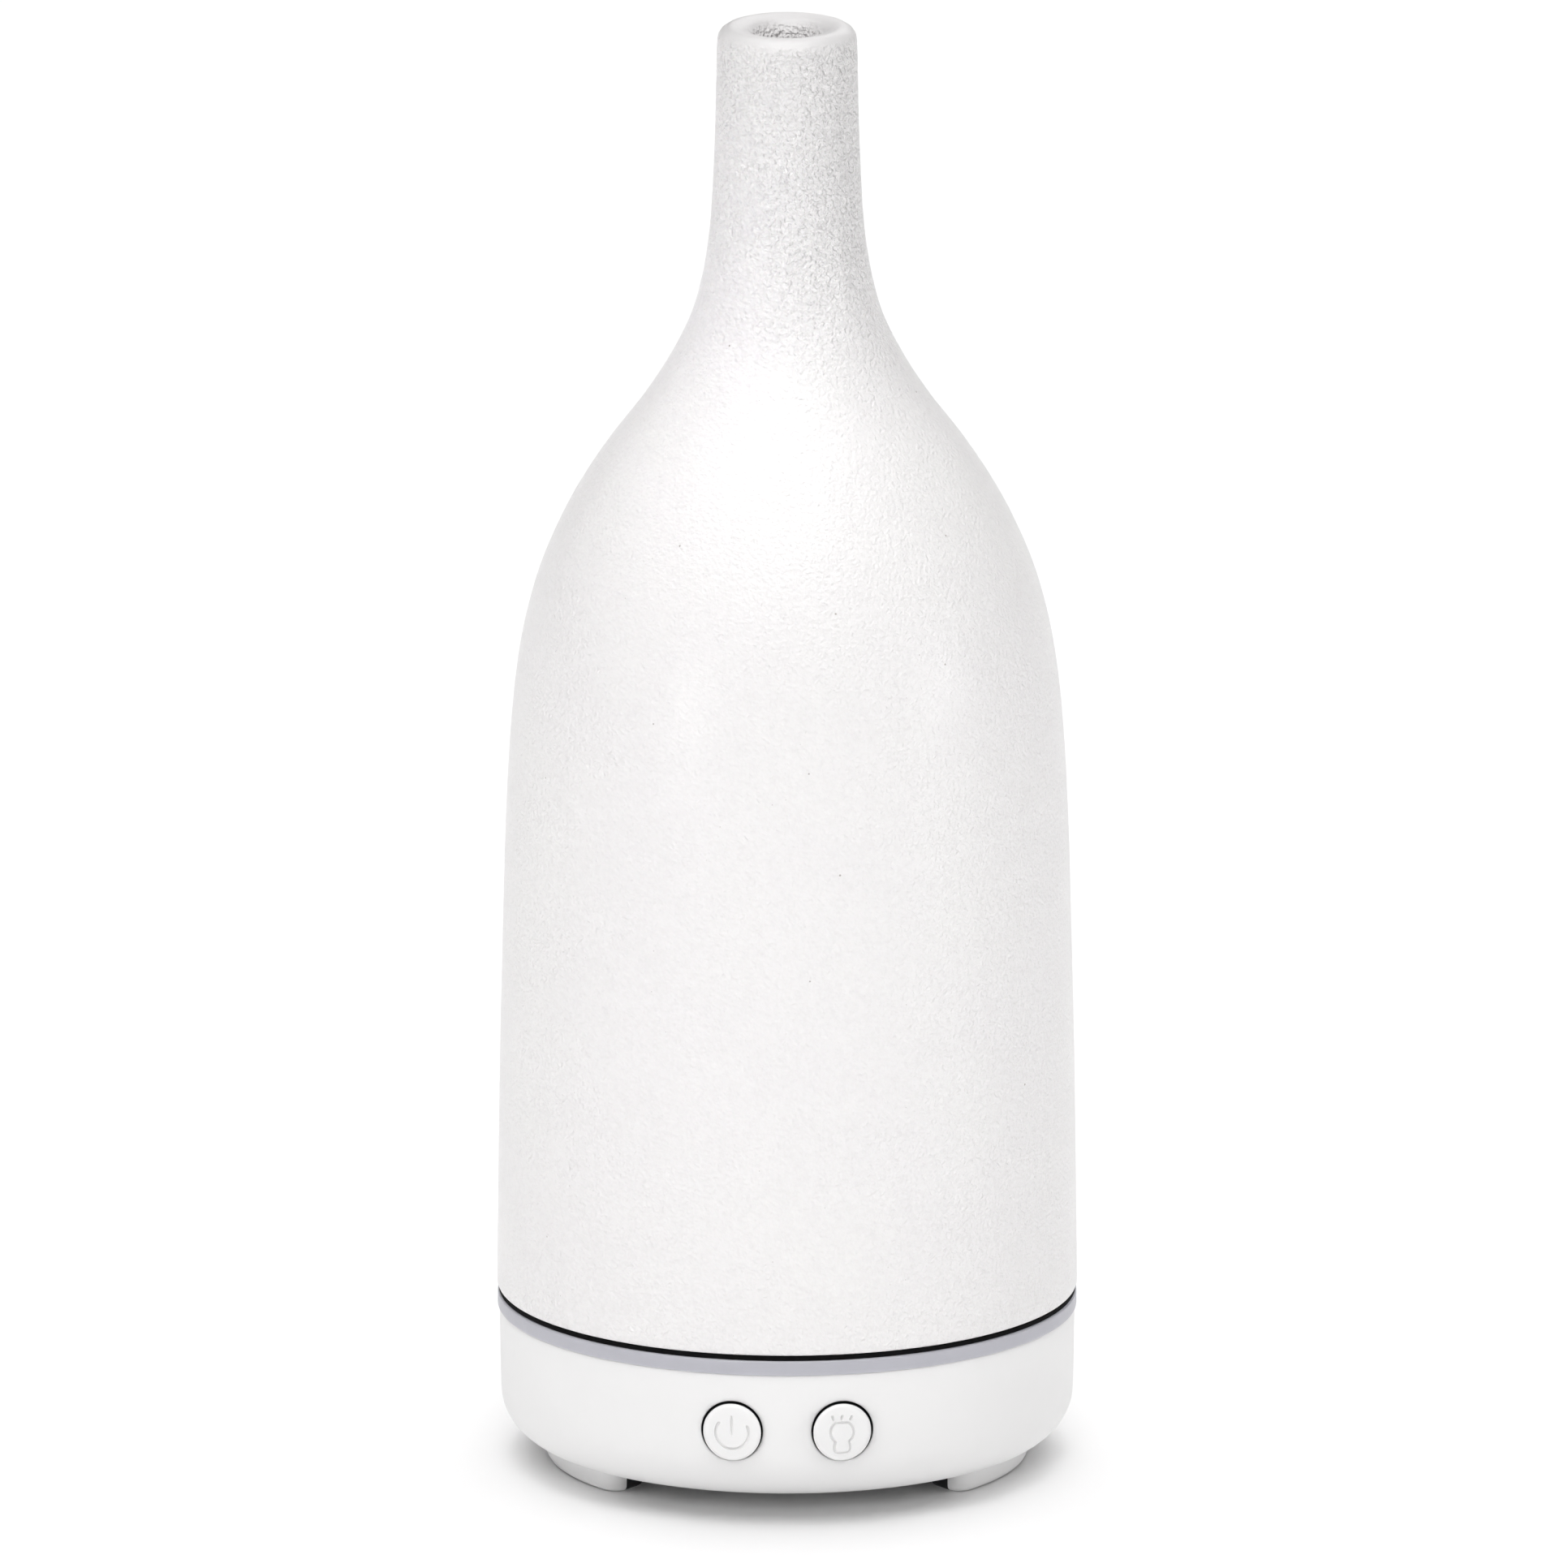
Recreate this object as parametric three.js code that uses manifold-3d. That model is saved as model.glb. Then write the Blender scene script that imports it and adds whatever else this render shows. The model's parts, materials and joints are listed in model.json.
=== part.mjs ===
// An ultrasonic essential oil diffuser: a bottle-shaped stoneware cover over a water tank, on a round base
// that holds the transducer, fan, lights and electronics.
// Millimetres, +Z up. The origin is on the resting surface, on the axis of the bottle. The front faces -Y.

import * as THREE from "three";
import { mergeVertices } from "three/addons/utils/BufferGeometryUtils.js";
import Module from "manifold-3d";

const wasm = await Module();
wasm.setup();

// ---------------------------------------------------------------- driving dimensions

const HEIGHT = 233; // overall, to the rim of the bottle
const COVER_RADIUS = 45.95; // stoneware cover at its foot, the widest part
const BASE_RADIUS = 45.6; // plastic base at its top edge
const PLASTIC = 2.3; // wall of the moulded parts
const GAP = 0.3; // clearance between pieces that fit together

// levels above the resting surface
const FOOT_Z = 0.5; // underside of the moulded feet, which the pads hold off the surface
const BASE_Z = 3.5; // flat underside of the base
const FLOOR_Z = 6; // inside of the bottom cover
const BOARD_Z = 10.6; // component side of the main board
const BASE_TOP_Z = 24.7; // top edge of the base shell
const RING_TOP_Z = 27.1; // top of the light ring
const CUSHION_TOP_Z = 27.8; // top of the cushion that carries the stoneware cover
const COVER_Z = CUSHION_TOP_Z + 0.1;
const DECK_Z = 27.4; // top of the tank's flange
const TANK_UNDER_Z = 31;
const TANK_FLOOR_Z = 34;
const TANK_RIM_Z = 80;
const CHIMNEY_TOP_Z = 150;

// plan positions
const TANK_RADIUS = 33; // inside
const BUTTON = { x: 8.7, z: 15.4, radius: 4.55, proud: 1.3 };
const JACK = { z: 14.9, face: 44.4 };
const FAN = { x: -20, size: 30, bottom: 8, top: 16 };
const TRANSDUCER_X = 12;
const CASE_SCREWS = { radius: 31, fromFront: 30 }; // degrees from the front or the back
const FOOT = { inner: 30, outer: 38.2, start: 46, end: 134 }; // degrees from the front

const ROUND = 36; // sides of the large turned parts
const SMALL_ROUND = 16;
const TINY_ROUND = 8;

// ---------------------------------------------------------------- materials

function finish(color, roughness, metalness = 0) {
  return new THREE.MeshStandardMaterial({ color, roughness, metalness });
}

const material = {
  stoneware: finish(0xf3f1f0, 0.55),
  shell: finish(0xf2f1f1, 0.45),
  tank: finish(0xeeeeec, 0.35),
  frosted: finish(0xdfe3e6, 0.4),
  lightRing: finish(0xb9b8c3, 0.4),
  silicone: finish(0xd8d6d2, 0.7),
  cushion: finish(0x111112, 0.8),
  pad: finish(0xc9c9c9, 0.8),
  board: finish(0x1f6b3f, 0.5),
  blackPlastic: finish(0x17181a, 0.45),
  steel: finish(0xb8bcc0, 0.3, 1),
  brass: finish(0xc9a45c, 0.3, 1),
  aluminium: finish(0xa9adb2, 0.35, 1),
  copper: finish(0xb56a3a, 0.35, 1),
  ferrite: finish(0x3a3a3e, 0.6),
  capacitorSleeve: finish(0x20324f, 0.4),
  socket: finish(0xe9e4d4, 0.5),
  led: finish(0xf4efd2, 0.3),
  ceramicDisc: finish(0xd6c9a0, 0.4),
  lead: finish(0xa32420, 0.5),
};

// ---------------------------------------------------------------- solids

const radians = THREE.MathUtils.degToRad;

/** A closed three.js geometry as a manifold-3d solid, with its faces pointing out. */
function solid(geometry) {
  const bare = new THREE.BufferGeometry();
  bare.setAttribute("position", geometry.getAttribute("position"));
  bare.setIndex(geometry.index);
  const merged = mergeVertices(bare, 1e-4);
  const corners = merged.index.array;
  const triangles = [];
  for (let i = 0; i < corners.length; i += 3) {
    const [a, b, c] = corners.slice(i, i + 3);
    if (a !== b && b !== c && c !== a) triangles.push(a, b, c);
  }
  const build = (order) =>
    new wasm.Manifold(
      new wasm.Mesh({
        numProp: 3,
        vertProperties: merged.getAttribute("position").array,
        triVerts: new Uint32Array(order),
      }),
    );
  const made = build(triangles);
  return made.volume() > 0 ? made : build(triangles.reverse());
}

/** A mesh of a solid, at a place in its group. */
function piece(name, shape, look, x = 0, y = 0, z = 0) {
  const { vertProperties, triVerts } = shape.getMesh();
  const geometry = new THREE.BufferGeometry();
  geometry.setAttribute("position", new THREE.BufferAttribute(vertProperties, 3));
  geometry.setIndex(new THREE.BufferAttribute(triVerts, 1));
  geometry.computeVertexNormals();
  const mesh = new THREE.Mesh(geometry, look);
  mesh.name = name;
  mesh.position.set(x, y, z);
  return mesh;
}

/** A group of pieces at a place in its parent. */
function assembly(pieces, x = 0, y = 0, z = 0) {
  const group = new THREE.Group();
  group.add(...pieces);
  group.position.set(x, y, z);
  return group;
}

/** An outline of [radius, height] points turned about the Z axis. It closes on itself or ends on the axis. */
function turned(outline, sides = ROUND) {
  const points = outline.map(([r, z]) => new THREE.Vector2(r, z));
  const closes = outline[0][0] > 0;
  if (closes) points.push(points[0].clone());
  return solid(new THREE.LatheGeometry(points, sides).rotateX(Math.PI / 2));
}

/** A round bar along Z. */
function bar(radius, low, high, x = 0, y = 0, sides = TINY_ROUND) {
  const made = new THREE.CylinderGeometry(radius, radius, high - low, sides);
  return solid(made.rotateX(Math.PI / 2).translate(x, y, (low + high) / 2));
}

/** A round bar along Y, which is how the buttons move and how the plug goes in. */
function crossBar(radius, low, high, x, z, sides = SMALL_ROUND) {
  const made = new THREE.CylinderGeometry(radius, radius, high - low, sides);
  return solid(made.translate(x, (low + high) / 2, z));
}

/** A block between two values on each axis. */
function block([x0, x1], [y0, y1], [z0, z1]) {
  const made = new THREE.BoxGeometry(x1 - x0, y1 - y0, z1 - z0);
  return solid(made.translate((x0 + x1) / 2, (y0 + y1) / 2, (z0 + z1) / 2));
}

/** A flat shape raised between two heights. */
function plate(shape, low, high, curveSegments) {
  const made = new THREE.ExtrudeGeometry(shape, {
    depth: high - low,
    bevelEnabled: false,
    curveSegments,
  });
  return solid(made.translate(0, 0, low));
}

/** A ring sector between two angles in degrees, measured from the front towards +X. */
function sector(inner, outer, start, end, low, high, curveSegments = 7) {
  const shape = new THREE.Shape();
  const from = radians(start - 90);
  const to = radians(end - 90);
  shape.absarc(0, 0, outer, from, to, false);
  shape.absarc(0, 0, inner, to, from, true);
  shape.closePath();
  return plate(shape, low, high, curveSegments);
}

/** Points along an arc in the outline plane, angles in degrees from the outward radius. */
function arc(r, z, radius, start, end, steps) {
  return Array.from({ length: steps + 1 }, (_, i) => {
    const angle = radians(start + ((end - start) * i) / steps);
    return [r + radius * Math.cos(angle), z + radius * Math.sin(angle)];
  });
}

/** Points along a smooth curve through [radius, height] points. */
function smooth(points, steps) {
  const curve = new THREE.CatmullRomCurve3(
    points.map(([r, z]) => new THREE.Vector3(r, z, 0)),
    false,
    "centripetal",
  );
  return curve.getPoints(steps).map((p) => [p.x, p.y]);
}

/** The place at a radius and an angle in degrees from the front, towards +X. */
function around(radius, fromFront) {
  const angle = radians(fromFront);
  return [radius * Math.sin(angle), -radius * Math.cos(angle)];
}

/** A round-headed screw: the underside of its head is at z 0 and the shank points along +Z. */
function screw(head, headHeight, shank, length) {
  return turned(
    [
      [0, -headHeight],
      [head * 0.75, -headHeight],
      [head, -headHeight * 0.6],
      [head, 0],
      [shank, 0],
      [shank, length - shank],
      [0, length],
    ],
    TINY_ROUND,
  );
}

/** An insulated lead through a list of points. */
function lead(points, radius = 0.7) {
  const path = new THREE.CatmullRomCurve3(points.map((p) => new THREE.Vector3(...p)));
  const section = new THREE.Shape().absarc(0, 0, radius, 0, 2 * Math.PI, false);
  const made = new THREE.ExtrudeGeometry(section, {
    extrudePath: path,
    steps: 4 * (points.length - 1),
    curveSegments: 3,
    bevelEnabled: false,
  });
  return solid(made);
}

// ---------------------------------------------------------------- stoneware cover

const RIM_RADIUS = 11.05;
const RIM_EDGE = 2.3; // rounding of the rim's outer edge
const MOUTH_RADIUS = 4.2;
const MOUTH_EDGE = 2.1; // rounding where the rim turns into the mouth
const FOOT_EDGE = 0.45;

const COVER_OUTSIDE = [
  [COVER_RADIUS, COVER_Z + FOOT_EDGE],
  [45.6, 60],
  [44.9, 90],
  [43.8, 118],
  [40.9, 138.8],
  [35.1, 154],
  [28.7, 164.5],
  [20.6, 175.6],
  [14.9, 186.8],
  [12.5, 198],
  [11.6, 210],
  [RIM_RADIUS, HEIGHT - RIM_EDGE],
];

const COVER_INSIDE = [
  [MOUTH_RADIUS, HEIGHT - MOUTH_EDGE],
  [4.6, 215],
  [6, 203],
  [11.5, 183],
  [17.5, 172.5],
  [25.1, 161.5],
  [31.3, 151.2],
  [37, 136.5],
  [39.9, 117],
  [41, 90],
  [41.6, 60],
  [41.9, COVER_Z + FOOT_EDGE],
];

function ceramicCover() {
  const rim = arc(RIM_RADIUS - RIM_EDGE, HEIGHT - RIM_EDGE, RIM_EDGE, 0, 90, 4);
  const mouth = arc(MOUTH_RADIUS + MOUTH_EDGE, HEIGHT - MOUTH_EDGE, MOUTH_EDGE, 90, 180, 3);
  const foot = arc(COVER_RADIUS - FOOT_EDGE, COVER_Z + FOOT_EDGE, FOOT_EDGE, -90, 0, 2);
  return turned([
    [COVER_INSIDE.at(-1)[0] + 0.5, COVER_Z],
    ...foot,
    ...smooth(COVER_OUTSIDE, 18).slice(1, -1),
    ...rim,
    ...mouth,
    ...smooth(COVER_INSIDE, 12).slice(1),
  ]);
}

// ---------------------------------------------------------------- inner cover

const SKIRT_DEPTH = 6; // how far the inner cover reaches into the tank
const SKIRT_RADIUS = TANK_RADIUS - 0.4;
const SKIRT_WALL = 1.5;

function innerCover() {
  const rest = TANK_RIM_Z + 0.1;
  const dome = [
    [33.2, rest + 2.6],
    [31.6, 92],
    [26, 101],
    [17, 108],
    [10.2, 113.5],
    [8.2, 120],
    [7.2, CHIMNEY_TOP_Z],
  ];
  const underDome = [
    [5.7, CHIMNEY_TOP_Z],
    [6.7, 121],
    [8.8, 112.4],
    [15.9, 106.5],
    [24.8, 99.7],
    [30, 91.4],
    [SKIRT_RADIUS - SKIRT_WALL, rest + 2],
  ];
  return turned(
    [
      [SKIRT_RADIUS - SKIRT_WALL, TANK_RIM_Z - SKIRT_DEPTH],
      [SKIRT_RADIUS, TANK_RIM_Z - SKIRT_DEPTH],
      [SKIRT_RADIUS, rest],
      [TANK_RADIUS + PLASTIC, rest],
      [TANK_RADIUS + PLASTIC, rest + 1.7],
      ...smooth(dome, 9),
      ...smooth(underDome, 8),
    ],
    28,
  );
}

// ---------------------------------------------------------------- water tank

const TANK_WALL = 2.5;
const FLANGE_RADIUS = 41;
const AIR_PIPE = { bore: 5, wall: 1.4, top: 76 };
const BOSS_RADIUS = 3.2;
const TRANSDUCER_HOLE = 8.5;
const PLATE_SCREWS = { radius: 15, angles: [120, 240, 0] };
const GASKET = 0.6;

function caseScrewPlaces() {
  const { radius, fromFront } = CASE_SCREWS;
  return [fromFront, 180 - fromFront, 180 + fromFront, -fromFront].map((a) => around(radius, a));
}

function waterTank() {
  const outer = TANK_RADIUS + TANK_WALL;
  const skirt = TANK_RADIUS + 0.2;
  const flangeUnder = BASE_TOP_Z + 0.5 + GASKET;
  let tank = turned([
    [0, TANK_FLOOR_Z],
    ...arc(TANK_RADIUS - 2.5, TANK_FLOOR_Z + 2.5, 2.5, -90, 0, 3),
    [TANK_RADIUS, TANK_RIM_Z - 0.8],
    [TANK_RADIUS + 0.3, TANK_RIM_Z],
    [outer - 0.4, TANK_RIM_Z],
    [outer, TANK_RIM_Z - 0.4],
    [outer, DECK_Z + 1],
    [outer + 1, DECK_Z],
    [FLANGE_RADIUS, DECK_Z],
    [FLANGE_RADIUS, flangeUnder],
    [skirt, flangeUnder],
    [skirt, TANK_UNDER_Z],
    [0, TANK_UNDER_Z],
  ]);
  // fins on the flange centre the stoneware cover
  for (const angle of [0, 90, 180, 270]) {
    const fin = block([outer - 1, FLANGE_RADIUS], [-0.8, 0.8], [DECK_Z - 1, DECK_Z + 10]);
    tank = tank.add(fin.rotate([0, 0, angle + 45]));
  }
  // the pipe that brings the fan's air above the water
  const pipe = AIR_PIPE.bore + AIR_PIPE.wall;
  tank = tank.add(bar(pipe, TANK_UNDER_Z + 1, AIR_PIPE.top, FAN.x, 0, SMALL_ROUND));
  tank = tank.subtract(bar(AIR_PIPE.bore, TANK_UNDER_Z - 1, AIR_PIPE.top + 1, FAN.x, 0, SMALL_ROUND));
  // bosses for the screws that close the case
  for (const [x, y] of caseScrewPlaces()) {
    tank = tank.add(bar(BOSS_RADIUS, FLOOR_Z + GAP, TANK_UNDER_Z + 1, x, y));
    tank = tank.subtract(bar(1.35, FLOOR_Z - 1, 18, x, y));
  }
  // the transducer's opening, with bosses for its plate
  tank = tank.subtract(
    bar(TRANSDUCER_HOLE, TANK_UNDER_Z - 1, TANK_FLOOR_Z + 1, TRANSDUCER_X, 0, SMALL_ROUND),
  );
  for (const angle of PLATE_SCREWS.angles) {
    const [x, y] = around(PLATE_SCREWS.radius, angle);
    tank = tank.add(bar(2.4, TANK_UNDER_Z - 3.4, TANK_UNDER_Z + 1, TRANSDUCER_X + x, y));
    tank = tank.subtract(bar(1.1, TANK_UNDER_Z - 4, TANK_UNDER_Z, TRANSDUCER_X + x, y));
  }
  return tank;
}

// ---------------------------------------------------------------- light ring

const RING_RADIUS = 45.9;
const RING_SKIRT_Z = 21.2;

function lightRing() {
  return turned([
    [RING_RADIUS, BASE_TOP_Z],
    [RING_RADIUS, RING_TOP_Z - 0.3],
    [RING_RADIUS - 0.3, RING_TOP_Z],
    [FLANGE_RADIUS + GAP, RING_TOP_Z],
    [FLANGE_RADIUS + GAP, BASE_TOP_Z + 0.5],
    [39.5, BASE_TOP_Z + 0.5],
    [39.5, BASE_TOP_Z - 1.5],
    [40.3, BASE_TOP_Z - 2],
    [40.3, RING_SKIRT_Z],
    [43, RING_SKIRT_Z],
    [43, BASE_TOP_Z],
  ]);
}

/** The soft ring between the light ring and the stoneware. */
function coverCushion() {
  return turned([
    [42.6, RING_TOP_Z],
    [45.2, RING_TOP_Z],
    [45.2, CUSHION_TOP_Z],
    [42.6, CUSHION_TOP_Z],
  ]);
}

function ringGasket() {
  const low = BASE_TOP_Z + 0.5;
  return turned([
    [39.6, low],
    [40.8, low],
    [40.8, low + GASKET],
    [39.6, low + GASKET],
  ]);
}

// ---------------------------------------------------------------- base shell

const CORNER = 7.8; // the large rounding under the base
const CORNER_Z = BASE_Z + CORNER;
const SHELL_WAIST = 45.35; // radius where the wall meets the rounding
const COVER_RIM = 38.3; // radius of the bottom cover
const LED_BOARD_Z = 17.4;

function baseShell() {
  const centre = SHELL_WAIST - CORNER;
  const inner = CORNER - PLASTIC + 0.1;
  const lipTop = FLOOR_Z + 0.7;
  const lipStart = -THREE.MathUtils.radToDeg(Math.asin((CORNER_Z - lipTop) / inner));
  let shell = turned([
    ...arc(centre, CORNER_Z, CORNER, -82.3, 0, 7),
    [BASE_RADIUS, BASE_TOP_Z],
    [BASE_RADIUS - PLASTIC, BASE_TOP_Z],
    ...arc(centre, CORNER_Z, inner, 0, lipStart, 3),
    [36.8, lipTop],
    [36.8, BASE_Z + 1.2],
    [COVER_RIM + GAP, BASE_Z + 1.2],
  ]);
  for (const side of [-1, 1]) {
    const hole = crossBar(BUTTON.radius + 0.25, -50, -38, side * BUTTON.x, BUTTON.z, 24);
    shell = shell.subtract(hole);
  }
  // the inlet: a flat counterbore round the socket's nose
  shell = shell.subtract(crossBar(5.8, JACK.face - 0.4, 50, 0, JACK.z));
  shell = shell.subtract(crossBar(4.8, 38, 50, 0, JACK.z));
  // ledges that carry the light boards
  for (const angle of [60, 90, 120, -60, -90, -120]) {
    const ledge = block([-1, 1], [-44, -41.4], [CORNER_Z + 1, LED_BOARD_Z]);
    shell = shell.add(ledge.rotate([0, 0, angle]));
  }
  return shell;
}

// ---------------------------------------------------------------- bottom cover

const BOARD_SCREWS = [
  [28.5, -17],
  [28.5, 17],
  [-0.5, 17.5],
];
const FAN_SCREWS = [
  [FAN.x - 12, -12],
  [FAN.x + 12, 12],
];
const BOARD_THICKNESS = 1.6;
const PAD_ANGLES = { rearRight: 118, frontRight: 62, frontLeft: -62, rearLeft: -118 };
const PAD = { inner: 31.8, outer: 36.4, half: 8, height: 1 };

function bottomCover() {
  let cover = turned([
    [0, BASE_Z],
    [COVER_RIM, BASE_Z],
    [COVER_RIM, BASE_Z + 0.9],
    [36.5, BASE_Z + 0.9],
    [36.5, FLOOR_Z],
    [0, FLOOR_Z],
  ]);
  for (const side of [0, 180]) {
    const foot = sector(FOOT.inner, FOOT.outer, FOOT.start + side, FOOT.end + side, FOOT_Z, BASE_Z + 0.5);
    cover = cover.add(foot);
  }
  for (const angle of Object.values(PAD_ANGLES)) {
    const { inner, outer, half, height } = PAD;
    const recess = sector(inner - 0.2, outer + 0.2, angle - half - 0.3, angle + half + 0.3, 0, height, 2);
    cover = cover.subtract(recess);
  }
  // the air inlet under the fan
  const reach = FAN.size / 2 - 2;
  for (let dx = -12; dx <= 12; dx += 4) {
    const half = Math.sqrt(reach ** 2 - dx ** 2) - 0.5;
    const slot = block([FAN.x + dx - 1, FAN.x + dx + 1], [-half, half], [BASE_Z - 1, FLOOR_Z + 1]);
    cover = cover.subtract(slot);
  }
  // posts for the main board and the fan
  const posts = [
    ...BOARD_SCREWS.map((place) => [place, BOARD_Z - BOARD_THICKNESS]),
    ...FAN_SCREWS.map((place) => [place, FAN.bottom]),
  ];
  for (const [[x, y], top] of posts) {
    cover = cover.add(bar(2.4, FLOOR_Z - 0.5, top, x, y));
    cover = cover.subtract(bar(1.25, FLOOR_Z - 0.8, top + 1, x, y));
  }
  // ribs that hold the button board upright
  for (const side of [-1, 1]) {
    const across = side < 0 ? [-11.5, -9] : [9, 11.5];
    cover = cover.add(block(across, [-34.4, -32.9], [FLOOR_Z - 0.5, 11]));
    cover = cover.add(block(across, [-30.9, -29.4], [FLOOR_Z - 0.5, 11]));
  }
  // wells for the case screws
  for (const [x, y] of caseScrewPlaces()) {
    cover = cover.subtract(bar(2.9, BASE_Z - 1, BASE_Z + 1.4, x, y, SMALL_ROUND));
    cover = cover.subtract(bar(1.5, BASE_Z - 1, FLOOR_Z + 1, x, y));
  }
  return cover;
}

function footPad(name, angle) {
  const { inner, outer, half, height } = PAD;
  return piece(name, sector(inner, outer, angle - half, angle + half, 0, height, 2), material.pad);
}

// ---------------------------------------------------------------- buttons

const SWITCH_FRONT = -36;
const BUTTON_BOARD_FRONT = -32.6;

/** A button cap: a round key whose face follows the wall, with a retaining flange and a stem. */
function buttonCap(side) {
  const x = side * BUTTON.x;
  const face = BASE_RADIUS + BUTTON.proud;
  const key = crossBar(BUTTON.radius, -50, -39.6, x, BUTTON.z, 24);
  const wall = bar(face, 0, 30, 0, 0, 120);
  const flange = crossBar(5.3, -40.3, -39.2, x, BUTTON.z);
  const stem = crossBar(1.8, -39.4, SWITCH_FRONT - 1.4, x, BUTTON.z, TINY_ROUND);
  return key.intersect(wall).add(flange).add(stem);
}

function switchPlunger(side) {
  const front = SWITCH_FRONT - 1.1;
  return crossBar(1.7, front, front + 1.8, side * BUTTON.x, BUTTON.z, TINY_ROUND);
}

function switchBody(side) {
  const x = side * BUTTON.x;
  const body = block([x - 3, x + 3], [SWITCH_FRONT, BUTTON_BOARD_FRONT], [BUTTON.z - 3, BUTTON.z + 3]);
  return body.subtract(crossBar(1.9, SWITCH_FRONT - 1, SWITCH_FRONT + 1.6, x, BUTTON.z, TINY_ROUND));
}

function buttonParts(word, side) {
  return [
    piece(`${word}_button`, buttonCap(side), material.shell),
    piece(`${word}_switch_plunger`, switchPlunger(side), material.blackPlastic),
    piece(`${word}_switch`, switchBody(side), material.steel),
  ];
}

// ---------------------------------------------------------------- fan

function fanFrame() {
  const half = FAN.size / 2;
  const height = FAN.top - FAN.bottom;
  let frame = block([-half, half], [-half, half], [0, height]);
  frame = frame.subtract(bar(14, -1, height + 1, 0, 0, 28));
  frame = frame.add(bar(6.8, 0, 1.4, 0, 0, SMALL_ROUND));
  for (const angle of [30, 150, 270]) {
    frame = frame.add(block([5, 14.5], [-0.8, 0.8], [0, 1.4]).rotate([0, 0, angle]));
  }
  for (const x of [-12, 12]) {
    for (const y of [-12, 12]) frame = frame.subtract(bar(1.4, -1, height + 1, x, y));
  }
  return frame.subtract(bar(1.2, 0.4, 2, 0, 0));
}

function fanRotor() {
  let rotor = bar(7, 1.8, 7.6, 0, 0, SMALL_ROUND);
  const blades = 7;
  for (let i = 0; i < blades; i++) {
    const blade = block([6, 13.3], [-0.45, 0.45], [-3.4, 3.4]);
    rotor = rotor.add(blade.rotate([40, 0, 0]).translate([0, 0, 4.7]).rotate([0, 0, (i * 360) / blades]));
  }
  return rotor.add(bar(0.8, 0.6, 2, 0, 0, 8));
}

/** The funnel that leads the fan's air into the tank's pipe. */
function fanDuct() {
  const low = FAN.top + GAP;
  const high = TANK_UNDER_Z - GAP;
  const bore = AIR_PIPE.bore;
  return turned(
    [
      [14.6, low],
      [14.6, low + 1.4],
      [bore + 1.4, high - 3.5],
      [bore + 1.4, high],
      [bore, high],
      [bore, high - 4],
      [13.3, low + 1],
      [13.3, low],
    ],
    SMALL_ROUND,
  );
}

// ---------------------------------------------------------------- transducer

// heights below are from the underside of the tank's floor
function transducerSeal() {
  return turned(
    [
      [8.7, -3.4],
      [12, -3.4],
      [12, 0],
      [8.7, 0],
      [8.7, -0.8],
      [10.3, -0.8],
      [10.3, -2.2],
      [8.7, -2.2],
    ],
    SMALL_ROUND,
  );
}

function transducerPlate() {
  let made = bar(13, -4.4, -3.4, 0, 0, SMALL_ROUND);
  const places = PLATE_SCREWS.angles.map((angle) => around(PLATE_SCREWS.radius, angle));
  for (const [x, y] of places) made = made.add(bar(3.2, -4.4, -3.4, x, y));
  for (const [x, y] of places) made = made.subtract(bar(1.2, -5, -3, x, y));
  return made.subtract(bar(6.5, -5, -3, 0, 0, SMALL_ROUND));
}

function transducerScrew(index) {
  const [x, y] = around(PLATE_SCREWS.radius, PLATE_SCREWS.angles[index]);
  return piece(`transducer_screw_${index + 1}`, screw(2, 1.2, 0.95, 3.6), material.steel, x, y, -4.4);
}

// ---------------------------------------------------------------- electronics

function mainBoard() {
  const edge = [
    [-3.5, -21],
    [32, -21],
    [32, 21],
    [7, 21],
    [7, 38],
    [-6, 38],
    [-6, 21],
    [-3.5, 20],
  ];
  const outline = new THREE.Shape(edge.map(([x, y]) => new THREE.Vector2(x, y)));
  let board = plate(outline, -BOARD_THICKNESS, 0, 1);
  for (const [x, y] of BOARD_SCREWS) board = board.subtract(bar(1.3, -3, 1, x, y));
  return board;
}

/** The power socket, with its nose through the back of the shell. Heights are from the main board. */
function powerSocket() {
  const z = JACK.z - BOARD_Z;
  const body = block([-4.5, 4.5], [29, 42.3], [0, 9.8]);
  const nose = crossBar(4.5, 42, JACK.face, 0, z);
  return body.add(nose).subtract(crossBar(3.1, 34.5, JACK.face + 1, 0, z));
}

function coilCore() {
  return turned(
    [
      [0, 0],
      [4.5, 0],
      [4.5, 1.4],
      [2.6, 1.4],
      [2.6, 7],
      [4.5, 7],
      [4.5, 8.4],
      [0, 8.4],
    ],
    SMALL_ROUND,
  );
}

function coilWinding() {
  return turned(
    [
      [2.7, 1.6],
      [4, 1.6],
      [4, 6.8],
      [2.7, 6.8],
    ],
    SMALL_ROUND,
  );
}

function capacitor() {
  return turned(
    [
      [0, 0],
      [4, 0],
      [4, 0.8],
      [3.75, 1.2],
      [4, 1.6],
      [4, 9.6],
      [3.6, 10],
      [0, 10],
    ],
    SMALL_ROUND,
  );
}

/** A finned heat sink: a back plate with six fins. */
function heatSink() {
  let made = block([-7, 7], [-2.2, -0.7], [0, 14]);
  for (let x = -7; x <= 6; x += 2.56) made = made.add(block([x, x + 1.1], [-8, -2], [0, 14]));
  return made;
}

function transistor() {
  return block([-4.2, 4.2], [-0.4, 3.4], [1.5, 11]);
}

const SOCKETS = { button: [1, -17], led: [8, 16], transducer: [17.5, 12] };
const SOCKET_HEIGHT = 5.3;

function leadSocket(word) {
  const [x, y] = SOCKETS[word];
  const shape = block([-3.2, 3.2], [-2.2, 2.2], [0, SOCKET_HEIGHT]);
  return piece(`${word}_socket`, shape, material.socket, x, y);
}

const LED = { radius: 41.4, angles: [72, 108] };
const LED_BOARD_THICKNESS = 1.2;

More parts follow.
